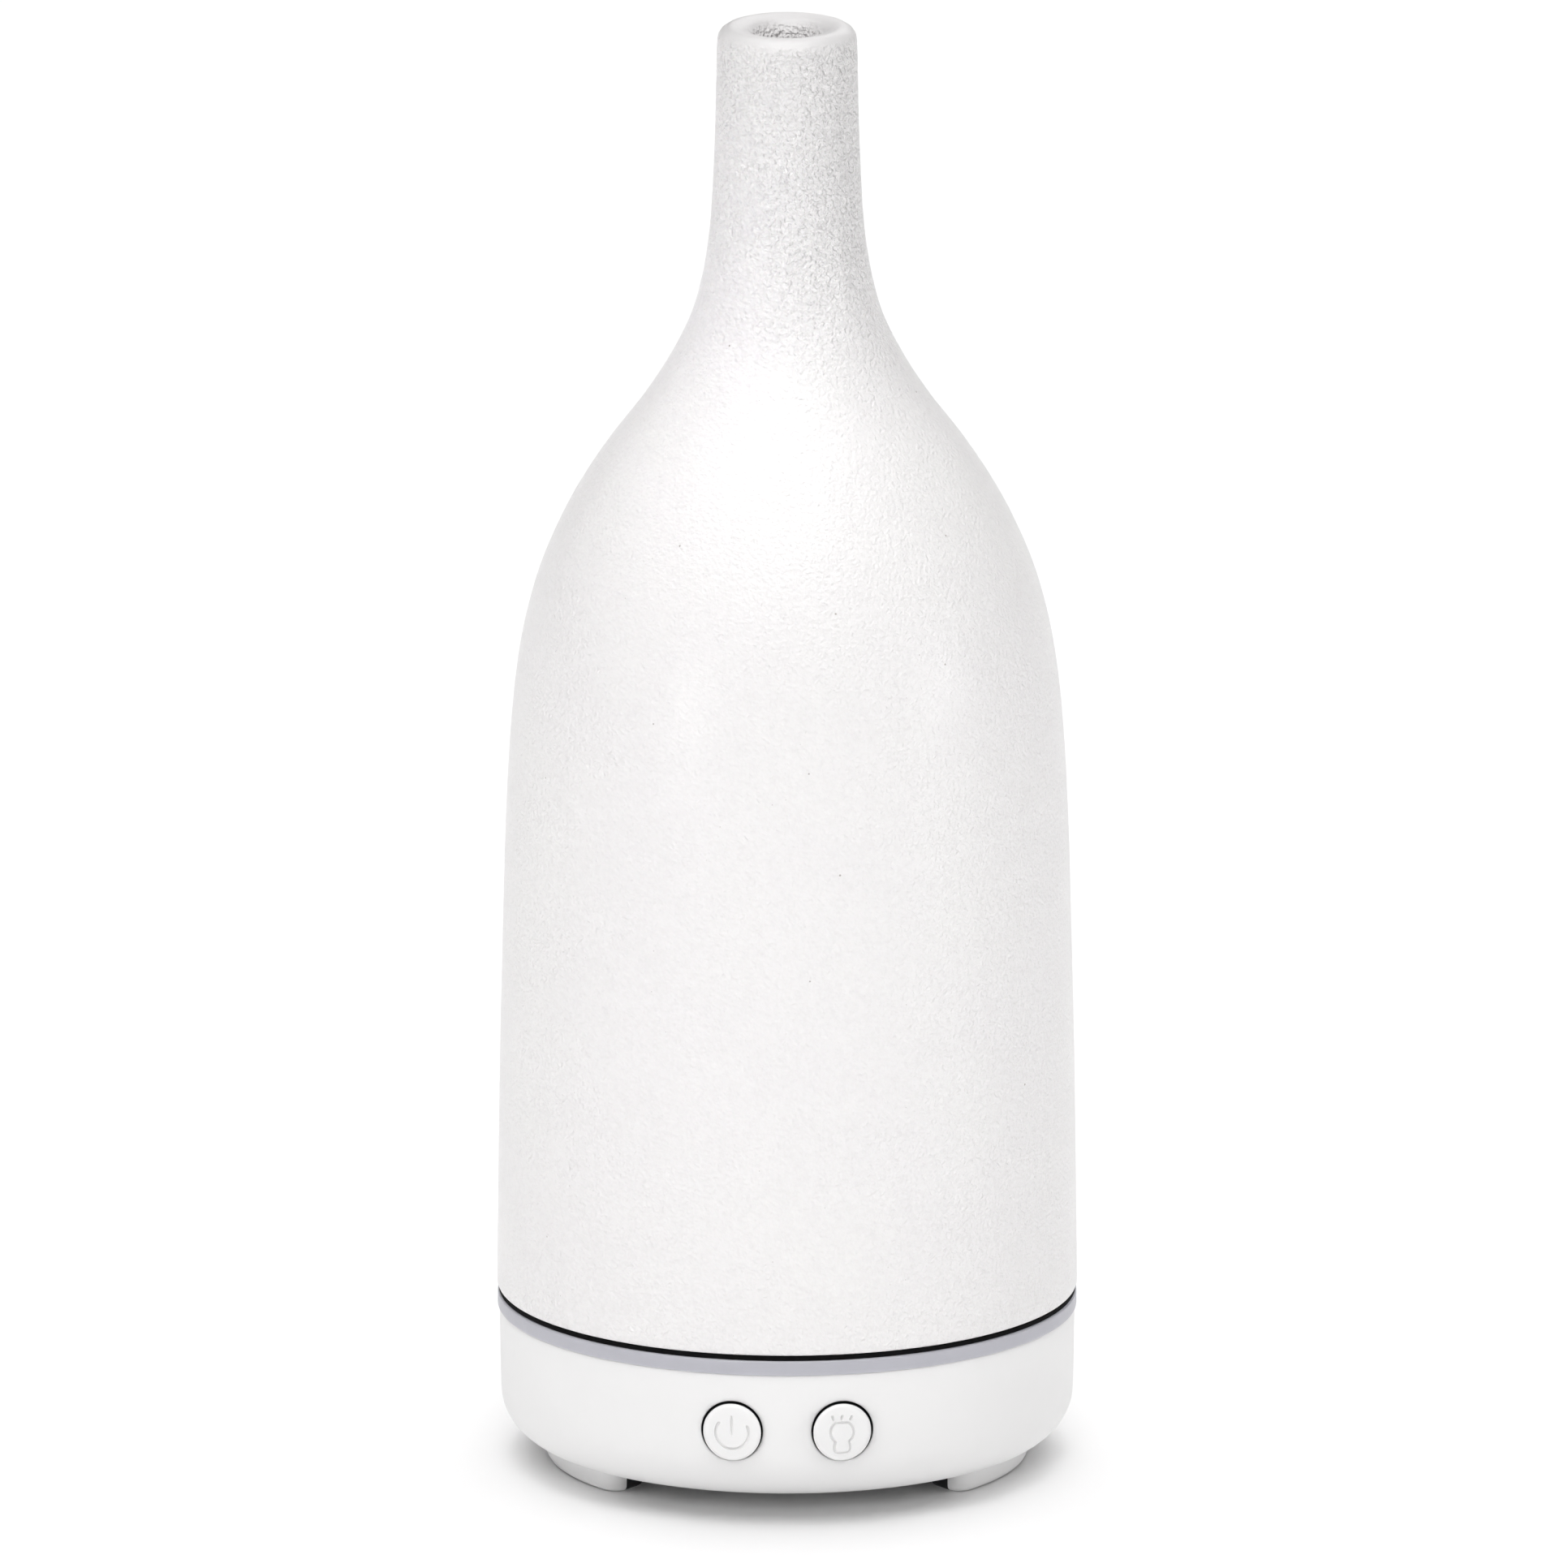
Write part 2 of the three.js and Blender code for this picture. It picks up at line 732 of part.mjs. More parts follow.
function lightBoard(word, side) {
  const start = side > 0 ? 42 : 222;
  const board = sector(36.2, 42.6, start, start + 96, LED_BOARD_Z, LED_BOARD_Z + LED_BOARD_THICKNESS);
  const lamps = LED.angles.map((angle, i) => {
    const [x, y] = around(LED.radius, side * angle);
    const lamp = block([-1.6, 1.6], [-1.1, 1.1], [0, 1.6]);
    const placed = piece(
      `led_${word}_${i + 1}`,
      lamp,
      material.led,
      x,
      y,
      LED_BOARD_Z + LED_BOARD_THICKNESS,
    );
    placed.rotation.z = radians(side * angle);
    return placed;
  });
  return [piece(`led_board_${word}`, board, material.board), ...lamps];
}

const SOCKET_TOP = BOARD_Z + SOCKET_HEIGHT + GAP;

const LEADS = {
  transducer_lead: [
    [TRANSDUCER_X, 0, TANK_UNDER_Z - 2.4],
    [TRANSDUCER_X, 1, 25],
    [15, 7, 21],
    [17.5, 11, 18.8],
    [17.5, 12, SOCKET_TOP],
  ],
  fan_lead: [
    [FAN.x + FAN.size / 2 + 1.2, -11, 13],
    [-2.4, -10.6, 16.5],
    [-0.5, -9, 16.5],
    [0, -7, BOARD_Z + GAP],
  ],
  led_lead_left: [
    [-26.8, 23, 18],
    [-20, 19.6, 20.5],
    [-8, 18.6, 20],
    [2, 18, 19.5],
    [6.6, 16.6, 18.6],
    [7, 16, SOCKET_TOP],
  ],
  led_lead_right: [
    [26.8, 23, 18],
    [20, 20, 20.5],
    [13, 18.4, 19.5],
    [9.4, 16.6, 18.6],
    [9, 16, SOCKET_TOP],
  ],
  button_lead: [
    [0, -30.9, 13],
    [0, -27, 15.5],
    [0.8, -21, 18.6],
    [1, -18, 18.6],
    [1, -17, SOCKET_TOP],
  ],
};

// ---------------------------------------------------------------- the object

const base = assembly([
  piece("water_tank", waterTank(), material.tank),
  piece("light_ring", lightRing(), material.lightRing),
  piece("ring_gasket", ringGasket(), material.silicone),
  piece("cover_cushion", coverCushion(), material.cushion),
  piece("base_shell", baseShell(), material.shell),
  piece("bottom_cover", bottomCover(), material.shell),
  footPad("foot_pad_front_left", PAD_ANGLES.frontLeft),
  footPad("foot_pad_front_right", PAD_ANGLES.frontRight),
  footPad("foot_pad_rear_left", PAD_ANGLES.rearLeft),
  footPad("foot_pad_rear_right", PAD_ANGLES.rearRight),
  ...caseScrewPlaces().map(([x, y], i) =>
    piece(`case_screw_${i + 1}`, screw(2.6, 1.2, 1.2, 11), material.steel, x, y, BASE_Z + 1.4),
  ),
  ...buttonParts("power", -1),
  ...buttonParts("light", 1),
  piece(
    "button_board",
    block([-14.5, 14.5], [BUTTON_BOARD_FRONT, BUTTON_BOARD_FRONT + 1.4], [8.5, 20.5]),
    material.board,
  ),
  ...lightBoard("right", 1),
  ...lightBoard("left", -1),
  ...Object.entries(LEADS).map(([name, points]) => piece(name, lead(points), material.lead)),
]);

const fan = assembly(
  [
    piece("fan_frame", fanFrame(), material.blackPlastic),
    piece("fan_rotor", fanRotor(), material.blackPlastic),
  ],
  FAN.x,
  0,
  FAN.bottom,
);

const fanScrews = FAN_SCREWS.map(([x, y], i) => {
  const made = piece(`fan_screw_${i + 1}`, screw(2.2, 1.2, 1.15, 9), material.steel, x, y, FAN.top);
  made.rotation.x = Math.PI;
  return made;
});

const transducer = assembly(
  [
    piece("transducer_disc", bar(10, -2, -1, 0, 0, SMALL_ROUND), material.ceramicDisc),
    piece("transducer_seal", transducerSeal(), material.silicone),
    piece("transducer_plate", transducerPlate(), material.steel),
    ...PLATE_SCREWS.angles.map((_, i) => transducerScrew(i)),
  ],
  TRANSDUCER_X,
  0,
  TANK_UNDER_Z,
);

const electronics = assembly(
  [
    piece("main_board", mainBoard(), material.board),
    piece("power_jack", powerSocket(), material.blackPlastic),
    piece(
      "power_jack_pin",
      crossBar(1, 34.5, JACK.face - 1.2, 0, JACK.z - BOARD_Z, TINY_ROUND),
      material.brass,
    ),
    piece("coil_core", coilCore(), material.ferrite, 25, 5),
    piece("coil_winding", coilWinding(), material.copper, 25, 5),
    piece("capacitor", capacitor(), material.capacitorSleeve, 27, -6),
    piece("heat_sink", heatSink(), material.aluminium, 14, -10),
    piece("transistor", transistor(), material.blackPlastic, 14, -10),
    piece("control_chip", block([-4.5, 4.5], [-3, 3], [0, 1.6]), material.blackPlastic, 8, 4),
    ...Object.keys(SOCKETS).map(leadSocket),
    ...BOARD_SCREWS.map(([x, y], i) => {
      const made = piece(`board_screw_${i + 1}`, screw(2.2, 1.2, 1.1, 4), material.steel, x, y);
      made.rotation.x = Math.PI;
      return made;
    }),
  ],
  0,
  0,
  BOARD_Z,
);

const diffuser = new THREE.Group();
diffuser.add(
  base,
  fan,
  ...fanScrews,
  piece("fan_duct", fanDuct(), material.frosted, FAN.x, 0, 0),
  transducer,
  electronics,
  piece("inner_cover", innerCover(), material.frosted),
  piece("ceramic_cover", ceramicCover(), material.stoneware),
);

export default diffuser;
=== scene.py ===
"""The looks of the ultrasonic diffuser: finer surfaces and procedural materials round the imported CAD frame."""

import json
import math

import bmesh
import bpy
import numpy as np
from mathutils import Matrix, Vector

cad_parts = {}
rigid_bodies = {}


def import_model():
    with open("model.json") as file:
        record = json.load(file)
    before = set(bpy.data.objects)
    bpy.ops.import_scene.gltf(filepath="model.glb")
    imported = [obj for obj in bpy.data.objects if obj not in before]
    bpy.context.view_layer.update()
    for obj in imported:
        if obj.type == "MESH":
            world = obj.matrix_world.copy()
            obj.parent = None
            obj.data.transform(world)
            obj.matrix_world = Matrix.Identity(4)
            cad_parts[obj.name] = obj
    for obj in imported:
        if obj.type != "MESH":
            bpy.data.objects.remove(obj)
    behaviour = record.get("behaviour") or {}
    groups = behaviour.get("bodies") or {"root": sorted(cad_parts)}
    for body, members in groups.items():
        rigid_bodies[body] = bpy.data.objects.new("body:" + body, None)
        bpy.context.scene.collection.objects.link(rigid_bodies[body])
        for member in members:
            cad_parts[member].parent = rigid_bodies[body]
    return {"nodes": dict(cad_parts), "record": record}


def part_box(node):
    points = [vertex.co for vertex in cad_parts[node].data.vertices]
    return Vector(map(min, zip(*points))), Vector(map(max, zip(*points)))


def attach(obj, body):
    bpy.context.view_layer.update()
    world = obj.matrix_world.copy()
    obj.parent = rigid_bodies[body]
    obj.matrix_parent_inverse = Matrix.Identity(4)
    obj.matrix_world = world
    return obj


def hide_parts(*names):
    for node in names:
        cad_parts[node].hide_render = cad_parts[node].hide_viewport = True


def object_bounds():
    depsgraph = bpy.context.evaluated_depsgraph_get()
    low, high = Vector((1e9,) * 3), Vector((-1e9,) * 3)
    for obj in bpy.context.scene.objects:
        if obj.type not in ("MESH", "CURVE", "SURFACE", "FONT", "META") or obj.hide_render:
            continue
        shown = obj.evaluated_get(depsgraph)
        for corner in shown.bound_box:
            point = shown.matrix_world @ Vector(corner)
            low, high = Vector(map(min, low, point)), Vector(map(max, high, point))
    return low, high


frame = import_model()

CAD_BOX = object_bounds()
MM = 0.001
TINY = 1e-6
ROUND = 256  # sides of the large turned pieces
LESS_ROUND = 192  # sides of the turned pieces inside
record = frame["record"]
nodes = frame["nodes"]


# ---------------------------------------------------------------- outlines of turned CAD nodes

ON_AXIS = 1e-4  # a radius below this is on the axis
OFF_MERIDIAN = 0.02  # degrees, so that a section passes beside the CAD's own vertices
ONE_POINT = 0.03  # points closer than this count as one
STRAIGHT = 0.008  # a point this near to its neighbours' line is left out
SHARP_TURN = 35  # a turn of more degrees is a corner
CORNER_SHARE = 0.42  # a fillet takes at most this share of the segments beside it


def section(node, from_front):
    """The outline that a half-plane from the axis cuts out of a CAD node, as (radius, height) points in millimetres.

    The angle is in degrees from the front, towards +X. An outline that meets the axis starts and ends on it.
    """
    bm = bmesh.new()
    bm.from_mesh(nodes[node].data)
    bmesh.ops.remove_doubles(bm, verts=bm.verts, dist=TINY)
    bm.transform(Matrix.Rotation(-math.radians(from_front + OFF_MERIDIAN), 4, "Z"))
    geometry = bm.verts[:] + bm.edges[:] + bm.faces[:]
    found = bmesh.ops.bisect_plane(bm, geom=geometry, dist=1e-8, plane_co=(0, 0, 0), plane_no=(1, 0, 0))
    bm.verts.index_update()
    links, places = {}, {}
    for edge in found["geom_cut"]:
        if not isinstance(edge, bmesh.types.BMEdge):
            continue
        ends = sorted((-v.co.y / MM, v.co.z / MM, v.index) for v in edge.verts)
        (r0, z0, key0), (r1, z1, key1) = ends
        if r1 < ON_AXIS:
            continue
        if r0 < ON_AXIS:
            r0, z0 = 0.0, z0 + (z1 - z0) * max(0, -r0) / (r1 - r0)
            key0 = ("axis", round(z0, 2))
        places[key0], places[key1] = np.array((r0, z0)), np.array((r1, z1))
        links.setdefault(key0, set()).add(key1)
        links.setdefault(key1, set()).add(key0)
    bm.free()
    ends = [k for k in links if len(links[k]) == 1]
    start = min(ends or links, key=lambda k: tuple(places[k]))
    path, last = [start], None
    while True:
        onward = [k for k in links[path[-1]] if k != last]
        if not onward or onward[0] == start:
            break
        last = path[-1]
        path.append(onward[0])
    return straightened([places[k] for k in path], closed=not ends)


def straightened(points, closed):
    """The same outline counter-clockwise, without doubled points and points on a straight line."""
    apart = [points[0]]
    for p in points[1:]:
        if np.linalg.norm(p - apart[-1]) > ONE_POINT:
            apart.append(p)
    if closed and np.linalg.norm(apart[0] - apart[-1]) < ONE_POINT:
        apart.pop()
    kept = []
    count = len(apart)
    for i, p in enumerate(apart):
        if closed or 0 < i < count - 1:
            before = kept[-1] if kept else apart[-1]
            along = apart[(i + 1) % count] - before
            off = p - before
            if abs(along[0] * off[1] - along[1] * off[0]) < STRAIGHT * np.linalg.norm(along):
                continue
        kept.append(p)
    ring = np.array(kept)
    after = np.roll(ring, -1, axis=0)
    area = np.sum(ring[:, 0] * after[:, 1] - after[:, 0] * ring[:, 1])
    return ring if area > 0 else ring[::-1]


def refined(ring, step, fillet, closed=True):
    """A finer outline: curves are filled in between the CAD's points, and corners are rounded."""
    count = len(ring)
    heading = [ring[(i + 1) % count] - ring[i - 1] for i in range(count)]
    heading = [h / np.linalg.norm(h) for h in heading]
    sharp = []
    for i in range(count):
        if not closed and i in (0, count - 1):
            sharp.append(True)
            continue
        a = ring[i] - ring[i - 1]
        b = ring[(i + 1) % count] - ring[i]
        turn = math.degrees(math.acos(np.clip(a @ b / np.linalg.norm(a) / np.linalg.norm(b), -1, 1)))
        sharp.append(turn > SHARP_TURN)
    runs, marks = [], []
    for i in range(count if closed else count - 1):
        j = (i + 1) % count
        p, q = ring[i], ring[j]
        chord = q - p
        size = np.linalg.norm(chord)
        unit = chord / size
        if sharp[i] and sharp[j]:
            m0 = m1 = unit
        else:
            m0, m1 = heading[i], heading[j]
            if sharp[i]:
                m0 = 2 * unit - m1
            if sharp[j]:
                m1 = 2 * unit - m0
        pieces = max(1, math.ceil(size / step))
        for k in range(pieces):
            t = k / pieces
            at = (
                p * (2 * t**3 - 3 * t**2 + 1)
                + m0 * size * (t**3 - 2 * t**2 + t)
                + q * (3 * t**2 - 2 * t**3)
                + m1 * size * (t**3 - t**2)
            )
            marks.append(sharp[i] and k == 0 and (closed or i > 0))
            runs.append(at)
    if not closed:
        runs.append(ring[-1])
        marks.append(False)
    return rounded(runs, marks, fillet, closed)


def rounded(points, marks, fillet, closed):
    """The outline with each marked corner replaced by a small curve."""
    count = len(points)
    made = []
    for i, p in enumerate(points):
        if not marks[i]:
            made.append(p)
            continue
        before, after = points[i - 1], points[(i + 1) % count]
        back = min(fillet, CORNER_SHARE * np.linalg.norm(before - p))
        on = min(fillet, CORNER_SHARE * np.linalg.norm(after - p))
        a = p + (before - p) / np.linalg.norm(before - p) * back
        b = p + (after - p) / np.linalg.norm(after - p) * on
        for t in (0, 0.25, 0.5, 0.75, 1):
            made.append(a * (1 - t) ** 2 + p * 2 * t * (1 - t) + b * t**2)
    return np.array(made)


# ---------------------------------------------------------------- meshes

SMOOTH_TURN = 40  # an edge that turns by more degrees is shaded sharp
EDGE_STEPS = 4


def piece(name, points, faces):
    """A mesh object from points in millimetres."""
    mesh = bpy.data.meshes.new(name)
    mesh.from_pydata([tuple(p) for p in np.asarray(points) * MM], [], faces)
    mesh.validate()
    obj = bpy.data.objects.new(name, mesh)
    bpy.context.scene.collection.objects.link(obj)
    tidy(obj)
    return obj


def tidy(obj, smooth=SMOOTH_TURN):
    """Faces out, and smooth shading except over sharp edges."""
    bm = bmesh.new()
    bm.from_mesh(obj.data)
    bmesh.ops.remove_doubles(bm, verts=bm.verts, dist=1e-7)
    bmesh.ops.recalc_face_normals(bm, faces=bm.faces)
    bm.to_mesh(obj.data)
    bm.free()
    obj.data.shade_smooth()
    obj.data.set_sharp_from_angle(angle=math.radians(smooth))


def spun(name, outline, sides=ROUND, closed=True):
    """An outline of (radius, height) turned about Z."""
    angles = np.arange(sides) * 2 * math.pi / sides
    turn = np.stack([np.sin(angles), -np.cos(angles)], axis=1)
    count = len(outline)
    points, starts = [], []
    for r, z in outline:
        starts.append(len(points))
        if r < TINY:
            points.append((0, 0, z))
        else:
            points.extend((r * x, r * y, z) for x, y in turn)
    faces = []
    for i in range(count if closed else count - 1):
        j = (i + 1) % count
        at_axis = outline[i][0] < TINY, outline[j][0] < TINY
        a, b = starts[i], starts[j]
        if all(at_axis):
            continue
        for k in range(sides):
            n = (k + 1) % sides
            if at_axis[0]:
                faces.append((a, b + n, b + k))
            elif at_axis[1]:
                faces.append((a + k, a + n, b))
            else:
                faces.append((a + k, a + n, b + n, b + k))
    return piece(name, points, faces)


def lofted(name, rings):
    """A closed solid through rings that all have the same number of points, capped at both ends."""
    size = len(rings[0])
    points = [p for ring in rings for p in ring]
    faces = []
    for i in range(len(rings) - 1):
        for k in range(size):
            n = (k + 1) % size
            a, b = i * size, (i + 1) * size
            faces.append((a + k, a + n, b + n, b + k))
    faces.append(tuple(range(size - 1, -1, -1)))
    last = (len(rings) - 1) * size
    faces.append(tuple(range(last, last + size)))
    return piece(name, points, faces)


def ring_at(x, y, z, radius, sides):
    """A circle of points in the plane across Y."""
    angles = [2 * math.pi * k / sides for k in range(sides)]
    return [(x + radius * math.cos(a), y, z + radius * math.sin(a)) for a in angles]


def cross_turned(name, profile, x, z, sides=64):
    """An outline of (radius, y) turned about an axis along Y, capped at both ends."""
    return lofted(name, [ring_at(x, y, z, r, sides) for r, y in profile])


def carved(obj, tools, operation="DIFFERENCE", smooth=SMOOTH_TURN):
    """Cuts tools out of a piece, or joins them to it, and removes them."""
    for tool in tools:
        modifier = obj.modifiers.new("carve", "BOOLEAN")
        modifier.operation = operation
        modifier.solver = "EXACT"
        modifier.object = tool
    graph = bpy.context.evaluated_depsgraph_get()
    mesh = bpy.data.meshes.new_from_object(obj.evaluated_get(graph))
    obj.modifiers.clear()
    obj.data = mesh
    for tool in tools:
        bpy.data.objects.remove(tool)
    tidy(obj, smooth)
    return obj


def merged(obj, others):
    """One object from several that touch or overlap."""
    bm = bmesh.new()
    for o in [obj, *others]:
        bm.from_mesh(o.data)
    bm.to_mesh(obj.data)
    bm.free()
    for o in others:
        bpy.data.objects.remove(o)
    tidy(obj)
    return obj


def sector(r0, r1, start, end, corner, steps=48):
    """The plan outline of a ring sector with rounded corners, angles in degrees from the front."""
    a0, a1 = math.radians(start), math.radians(end)

    def at(r, a):
        return np.array([r * math.sin(a), -r * math.cos(a)])

    def bend(r, a, outward, turn, end_first):
        """A quarter circle in a corner; outward and turn say where its centre lies from the corner."""
        rc, ac = r + outward * corner, a + turn * corner / r
        end = -turn * np.array([math.cos(ac), math.sin(ac)])
        face = -outward * np.array([math.sin(ac), -math.cos(ac)])
        first, second = (end, face) if end_first else (face, end)
        return [
            at(rc, ac) + corner * (first * math.cos(q) + second * math.sin(q))
            for q in np.linspace(0, math.pi / 2, 7)
        ]

    outer_margin, inner_margin = corner / r1, corner / r0
    points = bend(r1, a0, -1, 1, True)
    points += [at(r1, a) for a in np.linspace(a0 + outer_margin, a1 - outer_margin, steps)[1:-1]]
    points += bend(r1, a1, -1, -1, False)
    points += bend(r0, a1, 1, -1, True)
    points += [at(r0, a) for a in np.linspace(a1 - inner_margin, a0 + inner_margin, steps)[1:-1]]
    points += bend(r0, a0, 1, 1, False)
    return np.array(points)


def drawn_in(plan, distance):
    """A plan outline moved inwards by a distance."""
    before, after = np.roll(plan, 1, axis=0), np.roll(plan, -1, axis=0)
    along = after - before
    along /= np.linalg.norm(along, axis=1)[:, None]
    area = np.sum(plan[:, 0] * after[:, 1] - after[:, 0] * plan[:, 1])
    side = np.stack([-along[:, 1], along[:, 0]], axis=1) * np.sign(area)
    return plan + side * distance


def slab(name, plan, low, high, edge_low=0.0, edge_high=0.0):
    """A plan outline raised between two heights, with rounded lower and upper edges."""
    layers = []
    for t in np.linspace(0, math.pi / 2, EDGE_STEPS + 1) if edge_low else [math.pi / 2]:
        layers.append((edge_low * (1 - math.sin(t)), low + edge_low * (1 - math.cos(t))))
    for t in np.linspace(0, math.pi / 2, EDGE_STEPS + 1) if edge_high else [0]:
        layers.append((edge_high * (1 - math.cos(t)), high - edge_high * (1 - math.sin(t))))
    rings = []
    for inset, z in layers:
        ring = drawn_in(plan, inset) if inset else plan
        rings.append([(x, y, z) for x, y in ring])
    return lofted(name, rings)


def box_mm(node):
    """The low and high corners of a CAD node's box, in millimetres."""
    low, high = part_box(node)
    return np.array(low) / MM, np.array(high) / MM


def finish_piece(obj, body, slot, *replaced):
    """The piece rides on a body, stands for CAD nodes and takes its slot's material."""
    obj.data.materials.clear()
    obj.data.materials.append(LOOKS[slot])
    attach(obj, body)
    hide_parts(*replaced)
    return obj


# ---------------------------------------------------------------- materials


class Look:
    """A Principled material under construction, with its coordinates in millimetres on the piece."""

    def __init__(self, name, color, roughness, **sockets):
        self.material = bpy.data.materials.new(name)
        self.material.use_nodes = True
        self.tree = self.material.node_tree
        self.shader = self.tree.nodes["Principled BSDF"]
        self.shader.inputs["Base Color"].default_value = (*color, 1)
        self.shader.inputs["Roughness"].default_value = roughness
        for socket, value in sockets.items():
            self.shader.inputs[socket.replace("_", " ")].default_value = value
        self.color = color
        self.roughness = roughness
        coordinates = self.node("ShaderNodeTexCoord")
        scale = self.node("ShaderNodeVectorMath", operation="SCALE")
        scale.inputs["Scale"].default_value = 1 / MM
        self.join(coordinates.outputs["Object"], scale.inputs[0])
        self.place = scale.outputs[0]

    def node(self, kind, **settings):
        """A new shader node with its settings."""
        made = self.tree.nodes.new(kind)
        for key, value in settings.items():
            setattr(made, key, value)
        return made

    def join(self, output, socket):
        self.tree.links.new(output, socket)

    def noise(self, size, detail=3.0, roughness=0.55, distortion=0.0, stretch=None):
        """Noise with features of about the given size in millimetres."""
        made = self.node("ShaderNodeTexNoise")
        made.inputs["Scale"].default_value = 1 / size
        made.inputs["Detail"].default_value = detail
        made.inputs["Roughness"].default_value = roughness
        made.inputs["Distortion"].default_value = distortion
        place = self.place
        if stretch:
            mapping = self.node("ShaderNodeMapping")
            mapping.inputs["Scale"].default_value = stretch
            self.join(place, mapping.inputs["Vector"])
            place = mapping.outputs[0]
        self.join(place, made.inputs["Vector"])
        return made.outputs["Fac"]

    def cells(self, size, feature="F1"):
        """Voronoi cells of about the given size in millimetres."""
        made = self.node("ShaderNodeTexVoronoi", feature=feature)
        made.inputs["Scale"].default_value = 1 / size
        self.join(self.place, made.inputs["Vector"])
        return made

    def ranged(self, value, low, high, out_low, out_high):
        """A value from one range mapped to another, held at its ends."""
        made = self.node("ShaderNodeMapRange")
        for socket, number in zip(("From Min", "From Max", "To Min", "To Max"), (low, high, out_low, out_high)):
            made.inputs[socket].default_value = number
        self.join(value, made.inputs["Value"])
        return made.outputs[0]

    def times(self, a, b):
        """The product of two values from nodes."""
        made = self.node("ShaderNodeMath", operation="MULTIPLY")
        self.join(a, made.inputs[0])
        self.join(b, made.inputs[1])
        return made.outputs[0]

    def tint(self, share, color):
        """Mixes a colour over the base colour by a share from nodes."""
        mix = self.node("ShaderNodeMix", data_type="RGBA")
        socket = self.shader.inputs["Base Color"]
        if socket.is_linked:
            self.join(socket.links[0].from_socket, mix.inputs["A"])
        else:
            mix.inputs["A"].default_value = (*self.color, 1)
        mix.inputs["B"].default_value = (*color, 1)
        self.join(share, mix.inputs["Factor"])
        self.join(mix.outputs["Result"], socket)

    def vary_roughness(self, value, spread):
        """Varies the roughness either way by a value from nodes."""
        self.join(
            self.ranged(value, 0.3, 0.7, self.roughness - spread, self.roughness + spread),
            self.shader.inputs["Roughness"],
        )

    def relief(self, value, depth):
        """Adds bumps of the given depth in millimetres."""
        bump = self.node("ShaderNodeBump")
        bump.inputs["Strength"].default_value = 1
        bump.inputs["Distance"].default_value = depth * MM
        socket = self.shader.inputs["Normal"]
        if socket.is_linked:
            self.join(socket.links[0].from_socket, bump.inputs["Normal"])
        self.join(value, bump.inputs["Height"])
        self.join(bump.outputs[0], socket)


def stoneware():
    """Matt white glaze: cloudy, with sparse specks, finely pebbled on the body and more coarsely on the neck."""
    look = Look("matt_glaze", (0.868, 0.853, 0.855), 0.4, Coat_Weight=0.35, Coat_Roughness=0.3)
    look.tint(look.ranged(look.noise(28, 4), 0.4, 0.65, 0, 1), (0.878, 0.866, 0.862))
    look.tint(look.ranged(look.noise(1.1, 3), 0.45, 0.75, 0, 0.4), (0.8, 0.785, 0.785))
    empty = 0.8  # the share of the cells that hold no speck
    for size, radius, color in ((4.2, 0.05, (0.33, 0.29, 0.26)), (2.1, 0.055, (0.56, 0.53, 0.51))):
        cells = look.cells(size)
        near = look.ranged(cells.outputs["Distance"], radius * 0.5, radius, 1, 0)
        pick = look.node("ShaderNodeSeparateColor")
        look.join(cells.outputs["Color"], pick.inputs[0])
        chosen = look.ranged(pick.outputs[0], empty, empty + 0.01, 0, 0.8)
        look.tint(look.times(near, chosen), color)
    look.vary_roughness(look.noise(3, 3), 0.05)
    look.relief(look.noise(9, 2), 0.05)
    split = look.node("ShaderNodeSeparateXYZ")
    look.join(look.place, split.inputs[0])
    height = split.outputs["Z"]
    top = box_mm("ceramic_cover")[1][2]
    neck = top - 65, top - 35  # from the first height to the second the shoulder's glaze turns into the neck's
    lip = top - 2.4, top - 0.8  # and here into the lip's, which is smooth and painted greyer as shade
    # Painted shade: the lip and the upper part of the mouth are greyer.
    look.tint(look.ranged(height, *lip, 0, 1), (0.72, 0.71, 0.71))
    fine = look.ranged(look.noise(0.62, 1, 0.5, distortion=0.2), 0.3, 0.7, 0, 1)
    look.relief(look.times(fine, look.ranged(height, *neck, 1, 0)), 0.15)
    coarse = look.ranged(look.noise(0.68, 1, 0.5, distortion=0.2), 0.3, 0.7, 0, 1)
    share = look.times(look.ranged(height, *neck, 0, 1), look.ranged(height, *lip, 1, 0.05))
    look.relief(look.times(coarse, share), 0.5)
    return look.material


def moulded(name, color, roughness, grain=0.0025, **sockets):
    """Moulded plastic: a faint texture from the tool, slight flow shading and handling marks."""
    look = Look(name, color, roughness, **sockets)
    look.tint(look.ranged(look.noise(16, 3), 0.4, 0.7, 0, 0.5), tuple(c * 0.965 for c in color))
    look.vary_roughness(look.noise(5, 4), 0.05)
    look.relief(look.noise(11, 2), 0.012)
    look.relief(look.noise(0.3, 2), grain)
    return look.material


def frosted(name, color, roughness, depth):
    """Frosted translucent plastic, which light enters to a depth in millimetres."""
    look = Look(name, color, roughness, Subsurface_Weight=0.35)
    look.shader.inputs["Subsurface Scale"].default_value = depth * MM
    look.shader.inputs["Subsurface Radius"].default_value = (1, 0.95, 1)
    look.tint(look.ranged(look.noise(9, 3), 0.4, 0.7, 0, 0.5), tuple(c * 0.94 for c in color))
    look.vary_roughness(look.noise(2, 3), 0.05)
    look.relief(look.noise(0.25, 2), 0.003)
    return look.material


def rubber(name, color, roughness, **sockets):
    """Dull rubber, foam or ferrite with a mottled, slightly pitted surface."""
    look = Look(name, color, roughness, **sockets)
    look.tint(look.ranged(look.noise(2.5, 4), 0.4, 0.7, 0, 0.6), tuple(c * 1.3 for c in color))
    look.vary_roughness(look.noise(1.2, 3), 0.08)
    look.relief(look.noise(0.35, 3), 0.01)
    return look.material


